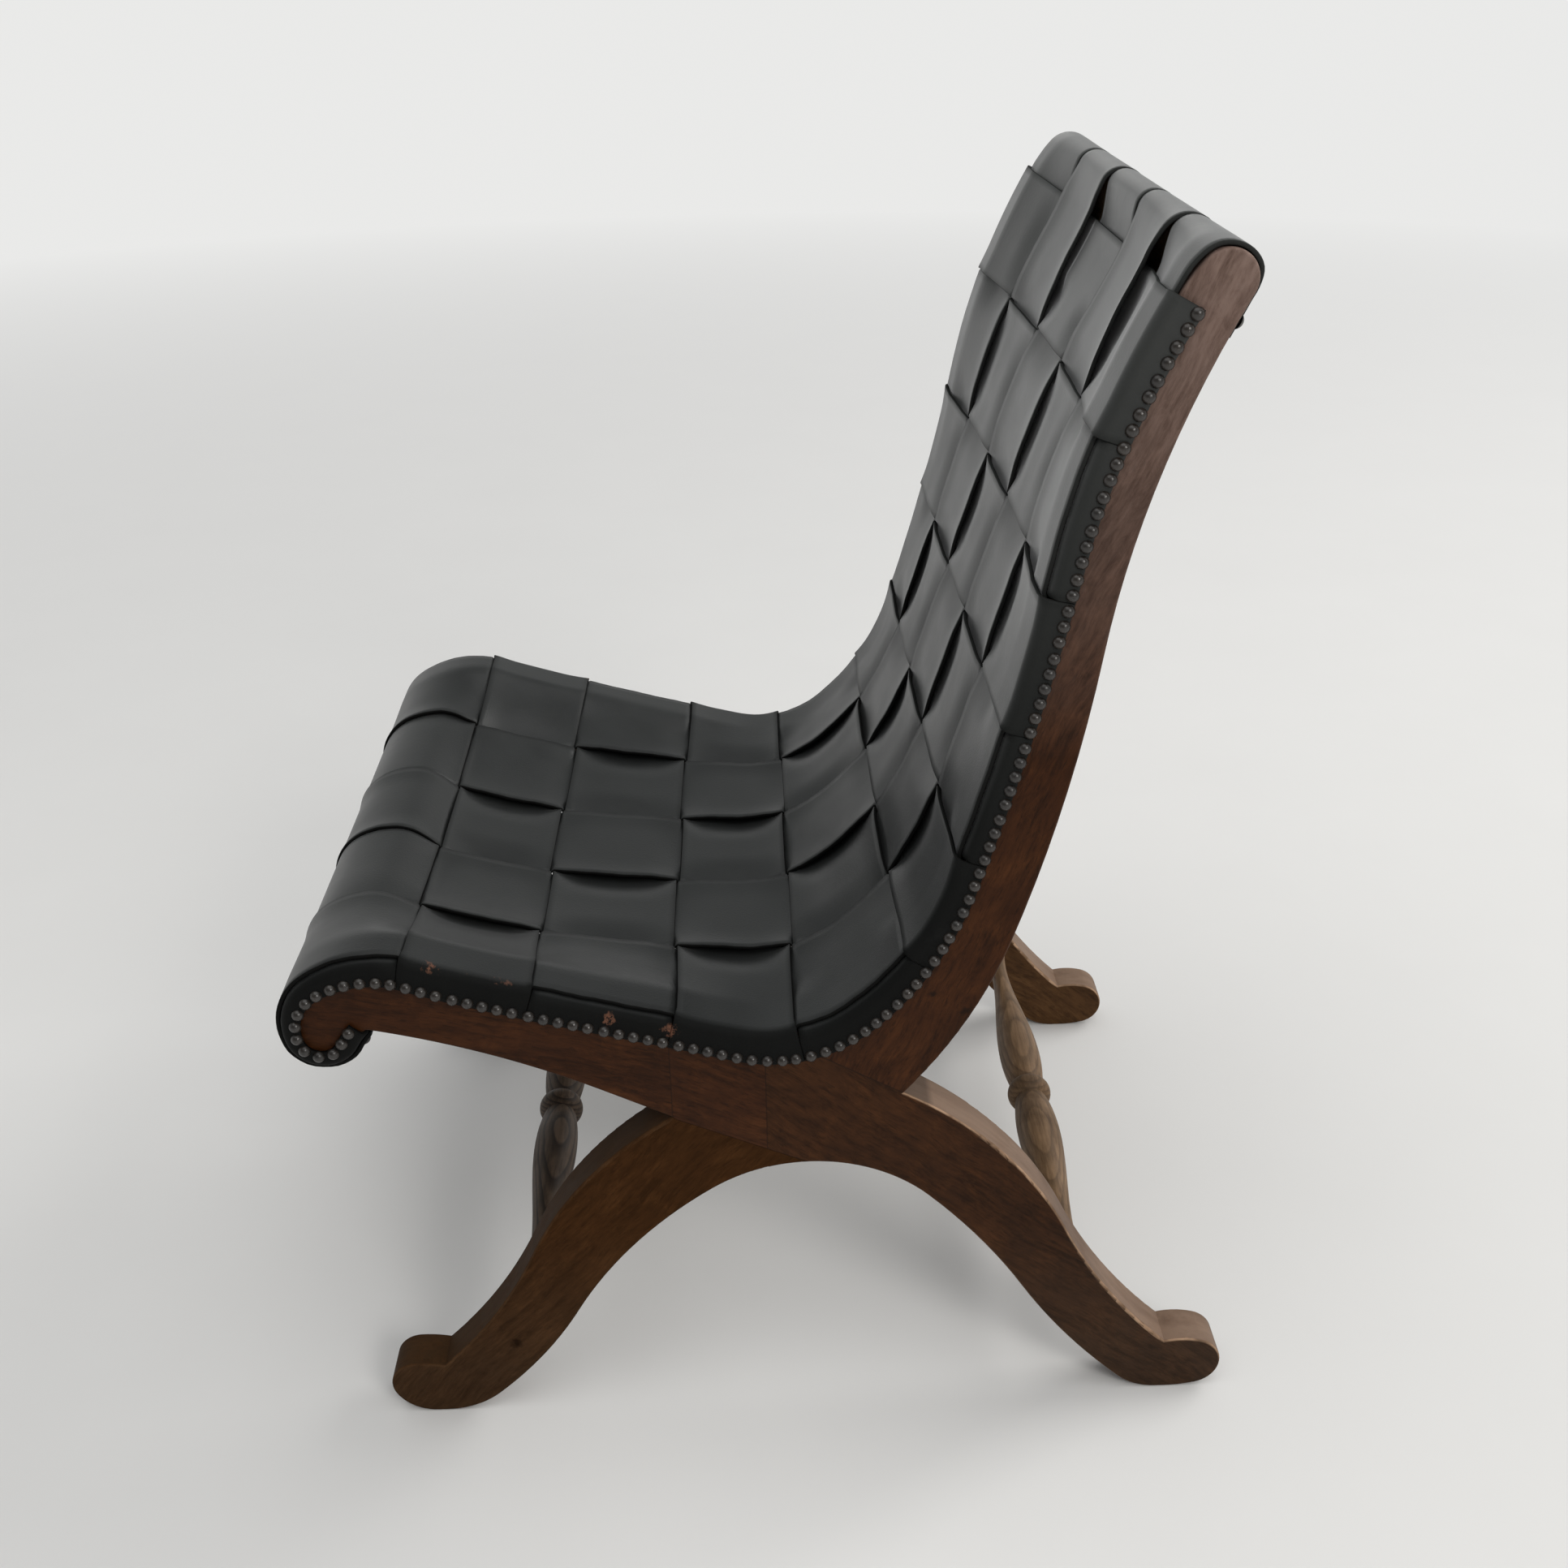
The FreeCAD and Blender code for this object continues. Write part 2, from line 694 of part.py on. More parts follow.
def main():
    os.makedirs("parts", exist_ok=True)

    front_bar, front_middle = rail_solid(wrap_start, front_rail_back, scroll_steps)
    crest_bar, crest_middle = rail_solid(rail.length - crest_rail_ahead, strap_path.length,
                                         crown_steps + row_steps)
    heading = strap_path.pose(rail.length)[2]
    crest_spots = []
    for side in (-1, 1):
        offset = side * crest_tenon_spacing / 2
        crest_spots.append((crest_middle.y + offset * math.cos(heading),
                            crest_middle.z + offset * math.sin(heading)))
    front_spots = [(front_middle.y, front_middle.z)]
    stretcher_spots = [front_leg.stretcher_spot(front_stretcher_share, front_stretcher_inset),
                       rear_leg.stretcher_spot(rear_stretcher_share, rear_stretcher_inset)]
    save("front_rail", front_bar.fuse(tenons(front_spots, front_tenon_radius)))
    save("crest_rail", crest_bar.fuse(tenons(crest_spots, crest_tenon_radius)))
    save("front_stretcher", stretcher(stretcher_spots[0]))
    save("rear_stretcher", stretcher(stretcher_spots[1]))

    sockets = tenons(front_spots, front_tenon_radius + tenon_fit, socket_gap)
    sockets += tenons(crest_spots, crest_tenon_radius + tenon_fit, socket_gap)
    sockets += tenons(stretcher_spots, stretcher_tenon_radius + tenon_fit, socket_gap)
    bores = dowels(dowel_radius + tenon_fit, dowel_length + 2 * socket_gap)
    sockets += bores + [mirrored(bore) for bore in bores]
    for name, board in frame_boards().items():
        across = board.copy()
        across.translate(FreeCAD.Vector(-inner_face - outer_face, 0, 0))
        save("left_" + name, board.cut(sockets))
        save("right_" + name, across.cut(sockets))

    for number in range(1, long_strap_count + 1):
        save("long_strap_%d" % number, long_strap(number))
    for row in range(1, cross_strap_count + 1):
        save("cross_strap_%02d" % row, cross_strap(row))

    nails = dome_nails()
    save("left_dome_nails", nails)
    save("right_dome_nails", mirrored(nails))
    save("front_strap_tacks", strap_tacks(wrap_start + tack_end_margin, high_lift))
    save("crest_strap_tacks", strap_tacks(strap_path.length - tack_end_margin, low_lift))
    pegs = Part.makeCompound(dowels(dowel_radius, dowel_length))
    save("left_frame_dowels", pegs)
    save("right_frame_dowels", mirrored(pegs))


main()
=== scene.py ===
import math

import bpy
import numpy as np
from mathutils import Matrix, Vector


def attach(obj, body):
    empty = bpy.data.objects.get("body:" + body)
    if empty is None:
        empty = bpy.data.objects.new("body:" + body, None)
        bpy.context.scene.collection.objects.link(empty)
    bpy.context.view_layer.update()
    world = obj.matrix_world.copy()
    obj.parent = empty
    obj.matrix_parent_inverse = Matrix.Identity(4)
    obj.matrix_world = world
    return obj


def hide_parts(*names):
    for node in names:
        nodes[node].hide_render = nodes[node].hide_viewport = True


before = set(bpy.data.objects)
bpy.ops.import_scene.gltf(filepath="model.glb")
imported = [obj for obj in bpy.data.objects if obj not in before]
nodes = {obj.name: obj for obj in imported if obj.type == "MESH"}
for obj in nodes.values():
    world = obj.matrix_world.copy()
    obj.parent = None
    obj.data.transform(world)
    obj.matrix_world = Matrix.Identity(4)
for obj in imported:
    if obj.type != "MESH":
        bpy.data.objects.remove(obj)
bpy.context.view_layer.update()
scene = bpy.context.scene
print("frame loaded,", len(nodes), "nodes")

mm = 0.001


# Camera and lamps

cameraSetup = {  # solved from the photograph
    "place": (1.1085, -0.0064, 0.9386),
    "forward": (-0.88890, 0.01571, -0.45784),
    "up": (-0.45737, 0.02810, 0.88883),
    "lens": 39.19,
    "sensor": 36.0,
    "clipEnd": 200.0,
}

cameraData = bpy.data.cameras.new("photoCamera")
cameraData.sensor_width = cameraSetup["sensor"]
cameraData.lens = cameraSetup["lens"]
cameraData.clip_end = cameraSetup["clipEnd"]
camera = bpy.data.objects.new("photoCamera", cameraData)
scene.collection.objects.link(camera)
forward = Vector(cameraSetup["forward"]).normalized()
right = forward.cross(Vector(cameraSetup["up"])).normalized()
up = right.cross(forward)
camera.matrix_world = Matrix((
    (right.x, up.x, -forward.x, cameraSetup["place"][0]),
    (right.y, up.y, -forward.y, cameraSetup["place"][1]),
    (right.z, up.z, -forward.z, cameraSetup["place"][2]),
    (0, 0, 0, 1)))
scene.camera = camera

lamps = {
    "backLamp": {"place": (-1.6, 3.7, 3.2), "size": 3.0, "power": 100, "colour": (1.0, 0.99, 0.97)},
    "topLamp": {"place": (0.6, -0.2, 4.0), "size": 4.0, "power": 56, "colour": (1.0, 1.0, 1.0)},
    "sideLamp": {"place": (3.8, 2.2, 3.0), "size": 1.5, "power": 75, "colour": (1.0, 0.98, 0.95)},
}
lampTarget = (0, 0, 0.35)
surroundings = {
    "light": (0.98, 0.99, 1.0),
    "lightStrength": 0.38,
    "backdrop": (0.82, 0.82, 0.81),
    "overhead": (0.40, 0.415, 0.41),  # what shiny faces see above the backdrop
    "overheadRange": (0.05, 0.45),  # upward share of the direction over which it comes in
    "darkSide": (0.16, 0.16, 0.16),  # and toward +X
    "darkRange": (-0.1, 0.6),
}

for name, lamp in lamps.items():
    data = bpy.data.lights.new(name, "AREA")
    data.shape = "SQUARE"
    data.size = lamp["size"]
    data.energy = lamp["power"]
    data.color = lamp["colour"]
    holder = bpy.data.objects.new(name, data)
    holder.location = lamp["place"]
    aim = Vector(lampTarget) - holder.location
    holder.rotation_euler = aim.to_track_quat("-Z", "Y").to_euler()
    holder.visible_camera = False
    scene.collection.objects.link(holder)

scene.view_settings.view_transform = "Standard"


# Node helpers

def newMaterial(name):
    material = bpy.data.materials.new(name)
    material.use_nodes = True
    tree = material.node_tree
    shader = tree.nodes["Principled BSDF"]
    return material, tree, shader


def add(tree, kind, settings=None, links=None, values=None):
    # one node with its settings, incoming links and plain input values
    node = tree.nodes.new(kind)
    for key, value in (settings or {}).items():
        setattr(node, key, value)
    for key, value in (values or {}).items():
        node.inputs[key].default_value = value
    for key, source in (links or {}).items():
        tree.links.new(source, node.inputs[key])
    return node


def feed(tree, socket, value):
    # value is another node's output, a colour or a number
    if isinstance(value, bpy.types.NodeSocket):
        tree.links.new(value, socket)
    elif isinstance(value, tuple):
        socket.default_value = (*value, 1)
    else:
        socket.default_value = value


def calc(tree, operation, *terms):
    node = add(tree, "ShaderNodeMath", {"operation": operation})
    for socket, term in zip(node.inputs, terms):
        feed(tree, socket, term)
    return node.outputs[0]


def plus(tree, a, b):
    return calc(tree, "ADD", a, b)


def minus(tree, a, b):
    return calc(tree, "SUBTRACT", a, b)


def times(tree, a, b):
    return calc(tree, "MULTIPLY", a, b)


def reachOf(tree, across, rise):
    # distance from a point, from its two parts
    return calc(tree, "SQRT", plus(tree, times(tree, across, across), times(tree, rise, rise)))


def remap(tree, value, low, high, toLow=0.0, toHigh=1.0):
    node = add(tree, "ShaderNodeMapRange", {"clamp": True}, {"Value": value},
               {"From Min": low, "From Max": high, "To Min": toLow, "To Max": toHigh})
    return node.outputs["Result"]


def blend(tree, amount, a, b):
    # colour mix; a and b are colours or outputs
    node = add(tree, "ShaderNodeMix", {"data_type": "RGBA"})
    for index, value in ((0, amount), (6, a), (7, b)):  # 6 and 7 are the colour inputs
        feed(tree, node.inputs[index], value)
    return node.outputs[2]


def noise(tree, vector, scale, detail=4.0, rough=0.55, distortion=0.0):
    node = add(tree, "ShaderNodeTexNoise", {}, {"Vector": vector},
               {"Scale": scale, "Detail": detail, "Roughness": rough, "Distortion": distortion})
    return node.outputs["Fac"]


def patches(tree, vector, noiseLook, ramp):
    return remap(tree, noise(tree, vector, *noiseLook), *ramp)


def stretch(tree, vector, factors):
    return add(tree, "ShaderNodeMapping", {}, {"Vector": vector},
               {"Scale": factors}).outputs["Vector"]


def wander(tree, vector, scale, amount):
    # shifts the vector about slowly, by up to the amount in metres
    slow = add(tree, "ShaderNodeTexNoise", {}, {"Vector": vector}, {"Scale": scale, "Detail": 2.0})
    offset = add(tree, "ShaderNodeVectorMath", {"operation": "SCALE"},
                 {0: slow.outputs["Color"]}, {"Scale": amount}).outputs["Vector"]
    return add(tree, "ShaderNodeVectorMath", {"operation": "ADD"},
               {0: vector, 1: offset}).outputs["Vector"]


def axes(tree, vector):
    return add(tree, "ShaderNodeSeparateXYZ", {}, {"Vector": vector}).outputs


def objectPlace(tree):
    return add(tree, "ShaderNodeTexCoord").outputs["Object"]


def finishShader(tree, shader, colour, roughness, shine, relief, bump):
    # bump holds its strength and its depth in metres
    strength, depth = bump
    bumpNode = add(tree, "ShaderNodeBump", {}, {"Height": relief},
                   {"Strength": strength, "Distance": depth})
    feed(tree, shader.inputs["Base Color"], colour)
    feed(tree, shader.inputs["Roughness"], roughness)
    feed(tree, shader.inputs["Specular IOR Level"], shine)
    feed(tree, shader.inputs["Normal"], bumpNode.outputs["Normal"])


def seenDirectly(tree):
    # 1 for rays from the camera and for those off or through shiny faces
    path = add(tree, "ShaderNodeLightPath").outputs
    return calc(tree, "MAXIMUM", path["Is Camera Ray"],
                calc(tree, "MAXIMUM", path["Is Glossy Ray"], path["Is Transmission Ray"]))


def makeWorld(look):
    world = bpy.data.worlds.new("surroundings")
    scene.world = world
    world.use_nodes = True
    tree = world.node_tree
    lighting = tree.nodes["Background"]
    lighting.inputs["Color"].default_value = (*look["light"], 1)
    lighting.inputs["Strength"].default_value = look["lightStrength"]
    toward = axes(tree, add(tree, "ShaderNodeTexCoord").outputs["Generated"])
    glossy = add(tree, "ShaderNodeLightPath").outputs["Is Glossy Ray"]
    above = times(tree, glossy, remap(tree, toward["Z"], *look["overheadRange"]))
    dark = times(tree, glossy, remap(tree, toward["X"], *look["darkRange"]))
    colour = blend(tree, above, look["backdrop"], look["overhead"])
    colour = blend(tree, dark, colour, look["darkSide"])
    backdrop = add(tree, "ShaderNodeBackground", {}, {"Color": colour})
    mix = add(tree, "ShaderNodeMixShader", {},
              {0: seenDirectly(tree), 1: lighting.outputs[0], 2: backdrop.outputs[0]})
    tree.links.new(mix.outputs[0], tree.nodes["World Output"].inputs["Surface"])


# Floor

floorLook = {
    "colour": (0.80, 0.795, 0.78),
    "speckle": (0.77, 0.765, 0.75),
    "clouds": (6.0, 5.0),  # scale and detail of the noise
    "roughness": 0.9,
    "shine": 0.2,
    "far": (0.82, 0.82, 0.81),
    "fade": (0.9, 5.0),  # metres over which the far floor turns into the backdrop
    "halfWidth": 30.0,
}


def makeFloor(look):
    material, tree, shader = newMaterial("paleFloor")
    place = objectPlace(tree)
    clouds = noise(tree, place, *look["clouds"])
    feed(tree, shader.inputs["Base Color"], blend(tree, clouds, look["colour"], look["speckle"]))
    shader.inputs["Roughness"].default_value = look["roughness"]
    shader.inputs["Specular IOR Level"].default_value = look["shine"]
    distance = add(tree, "ShaderNodeVectorMath", {"operation": "LENGTH"},
                   {0: place}).outputs["Value"]
    fade = times(tree, seenDirectly(tree), remap(tree, distance, *look["fade"]))
    far = add(tree, "ShaderNodeEmission", {}, {}, {"Color": (*look["far"], 1)})
    mix = add(tree, "ShaderNodeMixShader", {}, {0: fade, 1: shader.outputs[0], 2: far.outputs[0]})
    tree.links.new(mix.outputs[0], tree.nodes["Material Output"].inputs["Surface"])
    half = look["halfWidth"]
    mesh = bpy.data.meshes.new("floor")
    mesh.from_pydata([(-half, -half, 0), (half, -half, 0), (half, half, 0), (-half, half, 0)],
                     [], [(0, 1, 2, 3)])
    mesh.materials.append(material)
    floor = bpy.data.objects.new("floor", mesh)
    scene.collection.objects.link(floor)


makeWorld(surroundings)
makeFloor(floorLook)
print("camera, light and floor set")


# Wood

frameWood = {
    "dark": (0.0125, 0.0042, 0.0009),
    "middle": (0.036, 0.0108, 0.0026),
    "light": (0.086, 0.0300, 0.0088),
    "wander": (9.0, 0.022),  # scale of the grain's wander and how far it goes, metres
    "fibreStretch": 0.10,
    "fibres": (300.0, 7.0, 0.68),  # scale, detail, roughness and distortion of each noise
    "bands": (60.0, 3.0, 0.5, 0.4),
    "clouds": (26.0, 5.0, 0.62, 0.8),
    "mottleStretch": 0.35,
    "mottle": (230.0, 5.0, 0.7, 0.6),
    "toneShares": (0.42, 0.26, 0.32),  # fibres, bands and mottle
    "contrast": (0.33, 0.55),
    "lightClouds": (0.44, 0.70, 0.15, 0.85),  # where the light colour comes in
    "lightTone": (0.42, 0.60),
    "poreStretch": 0.16,
    "pores": (620.0, 2.0, 0.5),
    "poreRange": (0.60, 0.70, 0.0, 0.5),
    "edge": (0.16, 0.075, 0.033),  # eased edges are rubbed lighter
    "edgeWear": 0.25,
    "edgeInner": (0.12, 0.40),  # sideways share of the normal at the edge's two sides
    "edgeOuter": (0.97, 0.80),
    "edgeUp": (-0.1, 0.3, 0.25, 1.0),  # more where it looks up
    "edgeNoise": (46.0, 4.0, 0.6),
    "edgePatches": (0.38, 0.62, 0.35, 1.0),
    "topColour": (0.16, 0.095, 0.058),  # faces that look up are painted lighter: partly dust and wear, partly painted light from above
    "topLightAndWear": 0.10,
    "topUp": (0.20, 0.60),
    "topSide": (0.5, 0.1),
    "topNoise": (90.0, 4.0, 0.6),
    "topPatches": (0.25, 0.60, 0.6, 1.0),
    "highDark": (0.108, 0.066, 0.051),  # the top of the back posts is painted paler: painted light and haze that grow with height
    "highLight": (0.240, 0.168, 0.140),
    "highTone": (0.38, 0.58),
    "highRange": (0.50, 0.80),  # metres above the floor
    "highPaintedLight": 0.95,
    "lowDark": (0.026, 0.0165, 0.0095),  # and the sides of some feet have greyed
    "lowLight": (0.066, 0.046, 0.029),
    "lowTone": (0.36, 0.60),
    "lowRange": (0.16, 0.04),
    "lowSide": (0.5, 0.9),
    "lowWear": 0.0,
    "roughRange": (0.3, 0.75),
    "roughness": (0.46, 0.62),
    "shine": 0.11,
    "bump": (0.10, 0.0012),
}
rearLegWood = dict(frameWood, dark=(0.0140, 0.0055, 0.0014), middle=(0.036, 0.0124, 0.0034),
                   light=(0.082, 0.031, 0.010), edge=(0.42, 0.27, 0.17), edgeWear=0.95,
                   topLightAndWear=0.85, topColour=(0.255, 0.172, 0.122), lowWear=0.35,
                   roughness=(0.52, 0.68), bump=(0.12, 0.0012))
# the front legs' top colour is kept dark: painted shade on their faces that look up
frontLegWood = dict(rearLegWood, dark=(0.023, 0.0100, 0.0030), middle=(0.048, 0.0185, 0.0052),
                    light=(0.083, 0.035, 0.0115), contrast=(0.28, 0.64), topLightAndWear=0.60,
                    topColour=(0.050, 0.030, 0.016), edgeWear=0.30, edge=(0.13, 0.075, 0.040),
                    shine=0.03)
# the right rear leg is a paler copy of the rear leg's wood: painted light from the side
paintedLitFarLegWood = dict(rearLegWood, dark=(0.028, 0.0125, 0.0042), middle=(0.072, 0.032, 0.0105),
                  light=(0.130, 0.066, 0.026), lowWear=0.0)
boards = {  # grain in degrees from the horizontal in the side view
    "seat_rail": {"grain": -14.0, "left": frameWood, "right": frameWood,
                  "joints": ("blockFront", "post")},
    "centre_block": {"grain": -24.0, "left": frameWood, "right": frameWood,
                     "joints": ("blockFront", "blockRear", "arch")},
    "rear_leg": {"grain": -38.0, "left": rearLegWood, "right": paintedLitFarLegWood,
                 "joints": ("blockRear", "arch", "post")},
    "front_leg": {"grain": 48.0, "left": frontLegWood, "right": frontLegWood,
                  "joints": ("arch",)},
    "back_post": {"grain": 66.0, "left": frameWood, "right": frameWood, "joints": ("post",)},
}
grainShift = (0.37, 0.91, 0.53)  # moves each board to another part of the pattern
jointPlaces = {  # y and z in millimetres and slope in degrees of the glued joints
    "post": (81.7, 265.0, 150.0),
    "arch": (-66.3, 251.0, -24.3),
    "blockFront": (-66.3, 251.0, 90.0),
    "blockRear": (-6.3, 251.0, 90.0),
}
jointLine = {  # millimetres
    "core": 0.24,
    "half": 0.6,
    "reach": 110.0,  # the lines end this far from the places above
    "depth": 0.5,
    "colour": (0.008, 0.004, 0.002),
}
knots = {
    "places": ((119.0, 327.0, 4.5), (98.5, 340.0, 3.0), (-182.7, 61.6, 5.5)),  # y, z and size
    "core": 0.35,
    "depth": 0.85,
    "noise": (240.0, 3.0),
    "ragged": (0.3, 0.7, -0.0015, 0.0015),
    "colour": (0.0100, 0.0040, 0.0012),
}


def lineDistance(tree, spot, joint):
    # distance in metres from a sloping line in the side view
    y, z, slope = joint
    slope = math.radians(slope)
    across = minus(tree, spot["Y"], y * mm)
    rise = minus(tree, spot["Z"], z * mm)
    away = minus(tree, times(tree, across, math.sin(slope)), times(tree, rise, math.cos(slope)))
    along = plus(tree, times(tree, across, math.cos(slope)), times(tree, rise, math.sin(slope)))
    past = minus(tree, calc(tree, "ABSOLUTE", along), jointLine["reach"] * mm)
    return calc(tree, "MAXIMUM", calc(tree, "ABSOLUTE", away), past)


def drawJoints(tree, colour, spot, joints):
    for joint in joints:
        line = remap(tree, lineDistance(tree, spot, jointPlaces[joint]), jointLine["core"] * mm,
                     jointLine["half"] * mm, jointLine["depth"], 0.0)
        colour = blend(tree, line, colour, jointLine["colour"])
    return colour


def drawKnots(tree, colour, place, spot):
    for y, z, size in knots["places"]:
        reach = reachOf(tree, minus(tree, spot["Y"], y * mm), minus(tree, spot["Z"], z * mm))
        reach = plus(tree, reach, patches(tree, place, knots["noise"], knots["ragged"]))
        mask = remap(tree, reach, size * knots["core"] * mm, size * mm, knots["depth"], 0.0)
        colour = blend(tree, mask, colour, knots["colour"])
    return colour


def woodMaterial(name, look, angle, shift, joints=()):
    material, tree, shader = newMaterial(name)
    place = objectPlace(tree)
    spot = axes(tree, place)
    turned = add(tree, "ShaderNodeMapping", {}, {"Vector": place},
                 {"Rotation": (math.radians(-angle), 0, 0), "Location": shift}).outputs["Vector"]
    # slow wander of the grain, then long fibres along the board
    bent = wander(tree, turned, *look["wander"])
    grain = stretch(tree, bent, (1.0, look["fibreStretch"], 1.0))
    fibres = noise(tree, grain, *look["fibres"])
    bands = noise(tree, grain, *look["bands"])
    clouds = noise(tree, bent, *look["clouds"])
    mottle = noise(tree, stretch(tree, bent, (1.0, look["mottleStretch"], 1.0)), *look["mottle"])
    fibreShare, bandShare, mottleShare = look["toneShares"]
    tone = plus(tree, times(tree, fibres, fibreShare),
                plus(tree, times(tree, bands, bandShare), times(tree, mottle, mottleShare)))
    colour = blend(tree, remap(tree, tone, *look["contrast"]), look["dark"], look["middle"])
    lighter = times(tree, remap(tree, clouds, *look["lightClouds"]),
                    remap(tree, tone, *look["lightTone"]))
    colour = blend(tree, lighter, colour, look["light"])
    pores = patches(tree, stretch(tree, bent, (1.0, look["poreStretch"], 1.0)), look["pores"],
                    look["poreRange"])
    colour = blend(tree, pores, colour, look["dark"])
    # wear on the eased edges; dust and wear with painted light from above on the faces that look up
    normal = axes(tree, add(tree, "ShaderNodeNewGeometry").outputs["Normal"])
    sideways = calc(tree, "ABSOLUTE", normal["X"])
    edge = times(tree, remap(tree, sideways, *look["edgeInner"]),
                 remap(tree, sideways, *look["edgeOuter"]))
    edge = times(tree, edge, remap(tree, normal["Z"], *look["edgeUp"]))
    edge = times(tree, edge, patches(tree, place, look["edgeNoise"], look["edgePatches"]))
    colour = blend(tree, times(tree, edge, look["edgeWear"]), colour, look["edge"])
    # faces that look up take the top colour: dust and wear, and painted light from above
    top = times(tree, remap(tree, normal["Z"], *look["topUp"]),
                remap(tree, sideways, *look["topSide"]))
    top = times(tree, top, patches(tree, grain, look["topNoise"], look["topPatches"]))
    colour = blend(tree, times(tree, top, look["topLightAndWear"]), colour, look["topColour"])
    # by height: painted light high on the back posts, greyed sides of some feet low down
    pale = blend(tree, remap(tree, tone, *look["highTone"]), look["highDark"], look["highLight"])
    high = remap(tree, spot["Z"], *look["highRange"], 0.0, look["highPaintedLight"])
    colour = blend(tree, high, colour, pale)
    grey = blend(tree, remap(tree, tone, *look["lowTone"]), look["lowDark"], look["lowLight"])
    low = times(tree, remap(tree, sideways, *look["lowSide"]),
                remap(tree, spot["Z"], *look["lowRange"], 0.0, look["lowWear"]))
    colour = blend(tree, low, colour, grey)
    if joints:  # a board that shows
        colour = drawJoints(tree, colour, spot, joints)
        colour = drawKnots(tree, colour, place, spot)
    rough = remap(tree, clouds, *look["roughRange"], *look["roughness"])
    finishShader(tree, shader, colour, rough, look["shine"], minus(tree, fibres, pores),
                 look["bump"])
    return material


def dress(nodeName, material):
    piece = nodes[nodeName]
    piece.data.materials.clear()
    piece.data.materials.append(material)


boardCount = 0
for boardName, board in boards.items():
    for side in ("left", "right"):
        boardCount += 1
        shift = tuple(boardCount * step for step in grainShift)
        material = woodMaterial(side + "Wood_" + boardName, board[side], board["grain"], shift,
                                board["joints"])
        dress(side + "_" + boardName, material)

rearTurnedWood = {
    "dark": (0.040, 0.024, 0.013),
    "middle": (0.130, 0.075, 0.038),
    "light": (0.225, 0.138, 0.074),
    "wander": (12.0, 0.008),
    "ringCentre": (0.2102, 0.0647),  # y and z in metres of the growth rings' axis
    "ringWidth": 0.0030,
    "ringDepth": 0.45,
    "ringRise": (0.35, 0.85),  # shares of a ring over which the dark wood comes and goes
    "ringFall": (1.0, 0.9),
    "tilt": 0.030,  # the growth rings run slightly across
    "fibreStretch": 0.07,
    "fibres": (420.0, 6.0, 0.65),
    "contrast": (0.35, 0.62),
    "clouds": (22.0, 4.0, 0.6),
    "stains": (0.50, 0.75, 0.0, 0.6),
    "roughRange": (0.3, 0.7),
    "roughness": (0.45, 0.65),
    "shine": 0.22,
    "bump": (0.12, 0.001),
}
# the front stretcher's colours are a darker copy of the rear one's: painted shade; its rings are
# its own
shadedFrontTurnedWood = dict(rearTurnedWood, dark=(0.014, 0.009, 0.006), middle=(0.052, 0.034, 0.022),
                       light=(0.098, 0.065, 0.043), ringCentre=(-0.1743, 0.0643), tilt=-0.012,
                       ringDepth=0.85)


def turnedMaterial(name, look):
    # growth rings about an axis beside the stretcher, so that the turning cuts them into ovals
    material, tree, shader = newMaterial(name)
    place = objectPlace(tree)
    bent = axes(tree, wander(tree, place, *look["wander"]))
    centreY, centreZ = look["ringCentre"]
    across = minus(tree, minus(tree, bent["Y"], centreY), times(tree, bent["X"], look["tilt"]))
    reach = reachOf(tree, across, minus(tree, bent["Z"], centreZ))
    rings = calc(tree, "FRACT", calc(tree, "DIVIDE", reach, look["ringWidth"]))
    late = times(tree, remap(tree, rings, *look["ringRise"]),
                 remap(tree, rings, *look["ringFall"]))
    fibres = noise(tree, stretch(tree, place, (look["fibreStretch"], 1.0, 1.0)), *look["fibres"])
    clouds = noise(tree, place, *look["clouds"])
    colour = blend(tree, remap(tree, fibres, *look["contrast"]), look["middle"], look["light"])
    colour = blend(tree, times(tree, late, look["ringDepth"]), colour, look["dark"])
    colour = blend(tree, remap(tree, clouds, *look["stains"]), colour, look["dark"])
    rough = remap(tree, clouds, *look["roughRange"], *look["roughness"])
    finishShader(tree, shader, colour, rough, look["shine"], fibres, look["bump"])
    return material


dress("front_stretcher", turnedMaterial("shadedFrontTurnedWood", shadedFrontTurnedWood))
dress("rear_stretcher", turnedMaterial("rearTurnedWood", rearTurnedWood))

hiddenWood = dict(frameWood, dark=(0.09, 0.05, 0.028), middle=(0.20, 0.12, 0.07),
                  light=(0.30, 0.19, 0.11), edgeWear=0.0, topLightAndWear=0.0, highPaintedLight=0.0)
plainWood = woodMaterial("hiddenWood", hiddenWood, 0.0, (3.0, 2.0, 1.0))
for nodeName in ("front_rail", "crest_rail", "left_frame_dowels", "right_frame_dowels"):
    dress(nodeName, plainWood)
print("wood done")


# Nails

nailMetal = {
    "dark": (0.0095, 0.0074, 0.0060),
    "bronze": (0.023, 0.0172, 0.0130),
    "clouds": (60.0, 4.0, 0.6),
    "contrast": (0.35, 0.68),
    "metallic": 0.12,
    "roughRange": (0.3, 0.7),
    "roughness": (0.39, 0.29),
    "shine": 0.78,
    "grain": (900.0, 2.0),
    "bump": (0.04, 0.0005),
}


def nailMaterial(look):
    material, tree, shader = newMaterial("darkBronze")
    place = objectPlace(tree)
    clouds = noise(tree, place, *look["clouds"])
    colour = blend(tree, remap(tree, clouds, *look["contrast"]), look["dark"], look["bronze"])
    rough = remap(tree, clouds, *look["roughRange"], *look["roughness"])
    shader.inputs["Metallic"].default_value = look["metallic"]
    finishShader(tree, shader, colour, rough, look["shine"], noise(tree, place, *look["grain"]),
                 look["bump"])
    return material


bronze = nailMaterial(nailMetal)
for nodeName in ("left_dome_nails", "right_dome_nails", "front_strap_tacks", "crest_strap_tacks"):
    dress(nodeName, bronze)
print("nails done")


# The line that the leather follows in the side view, in millimetres and degrees

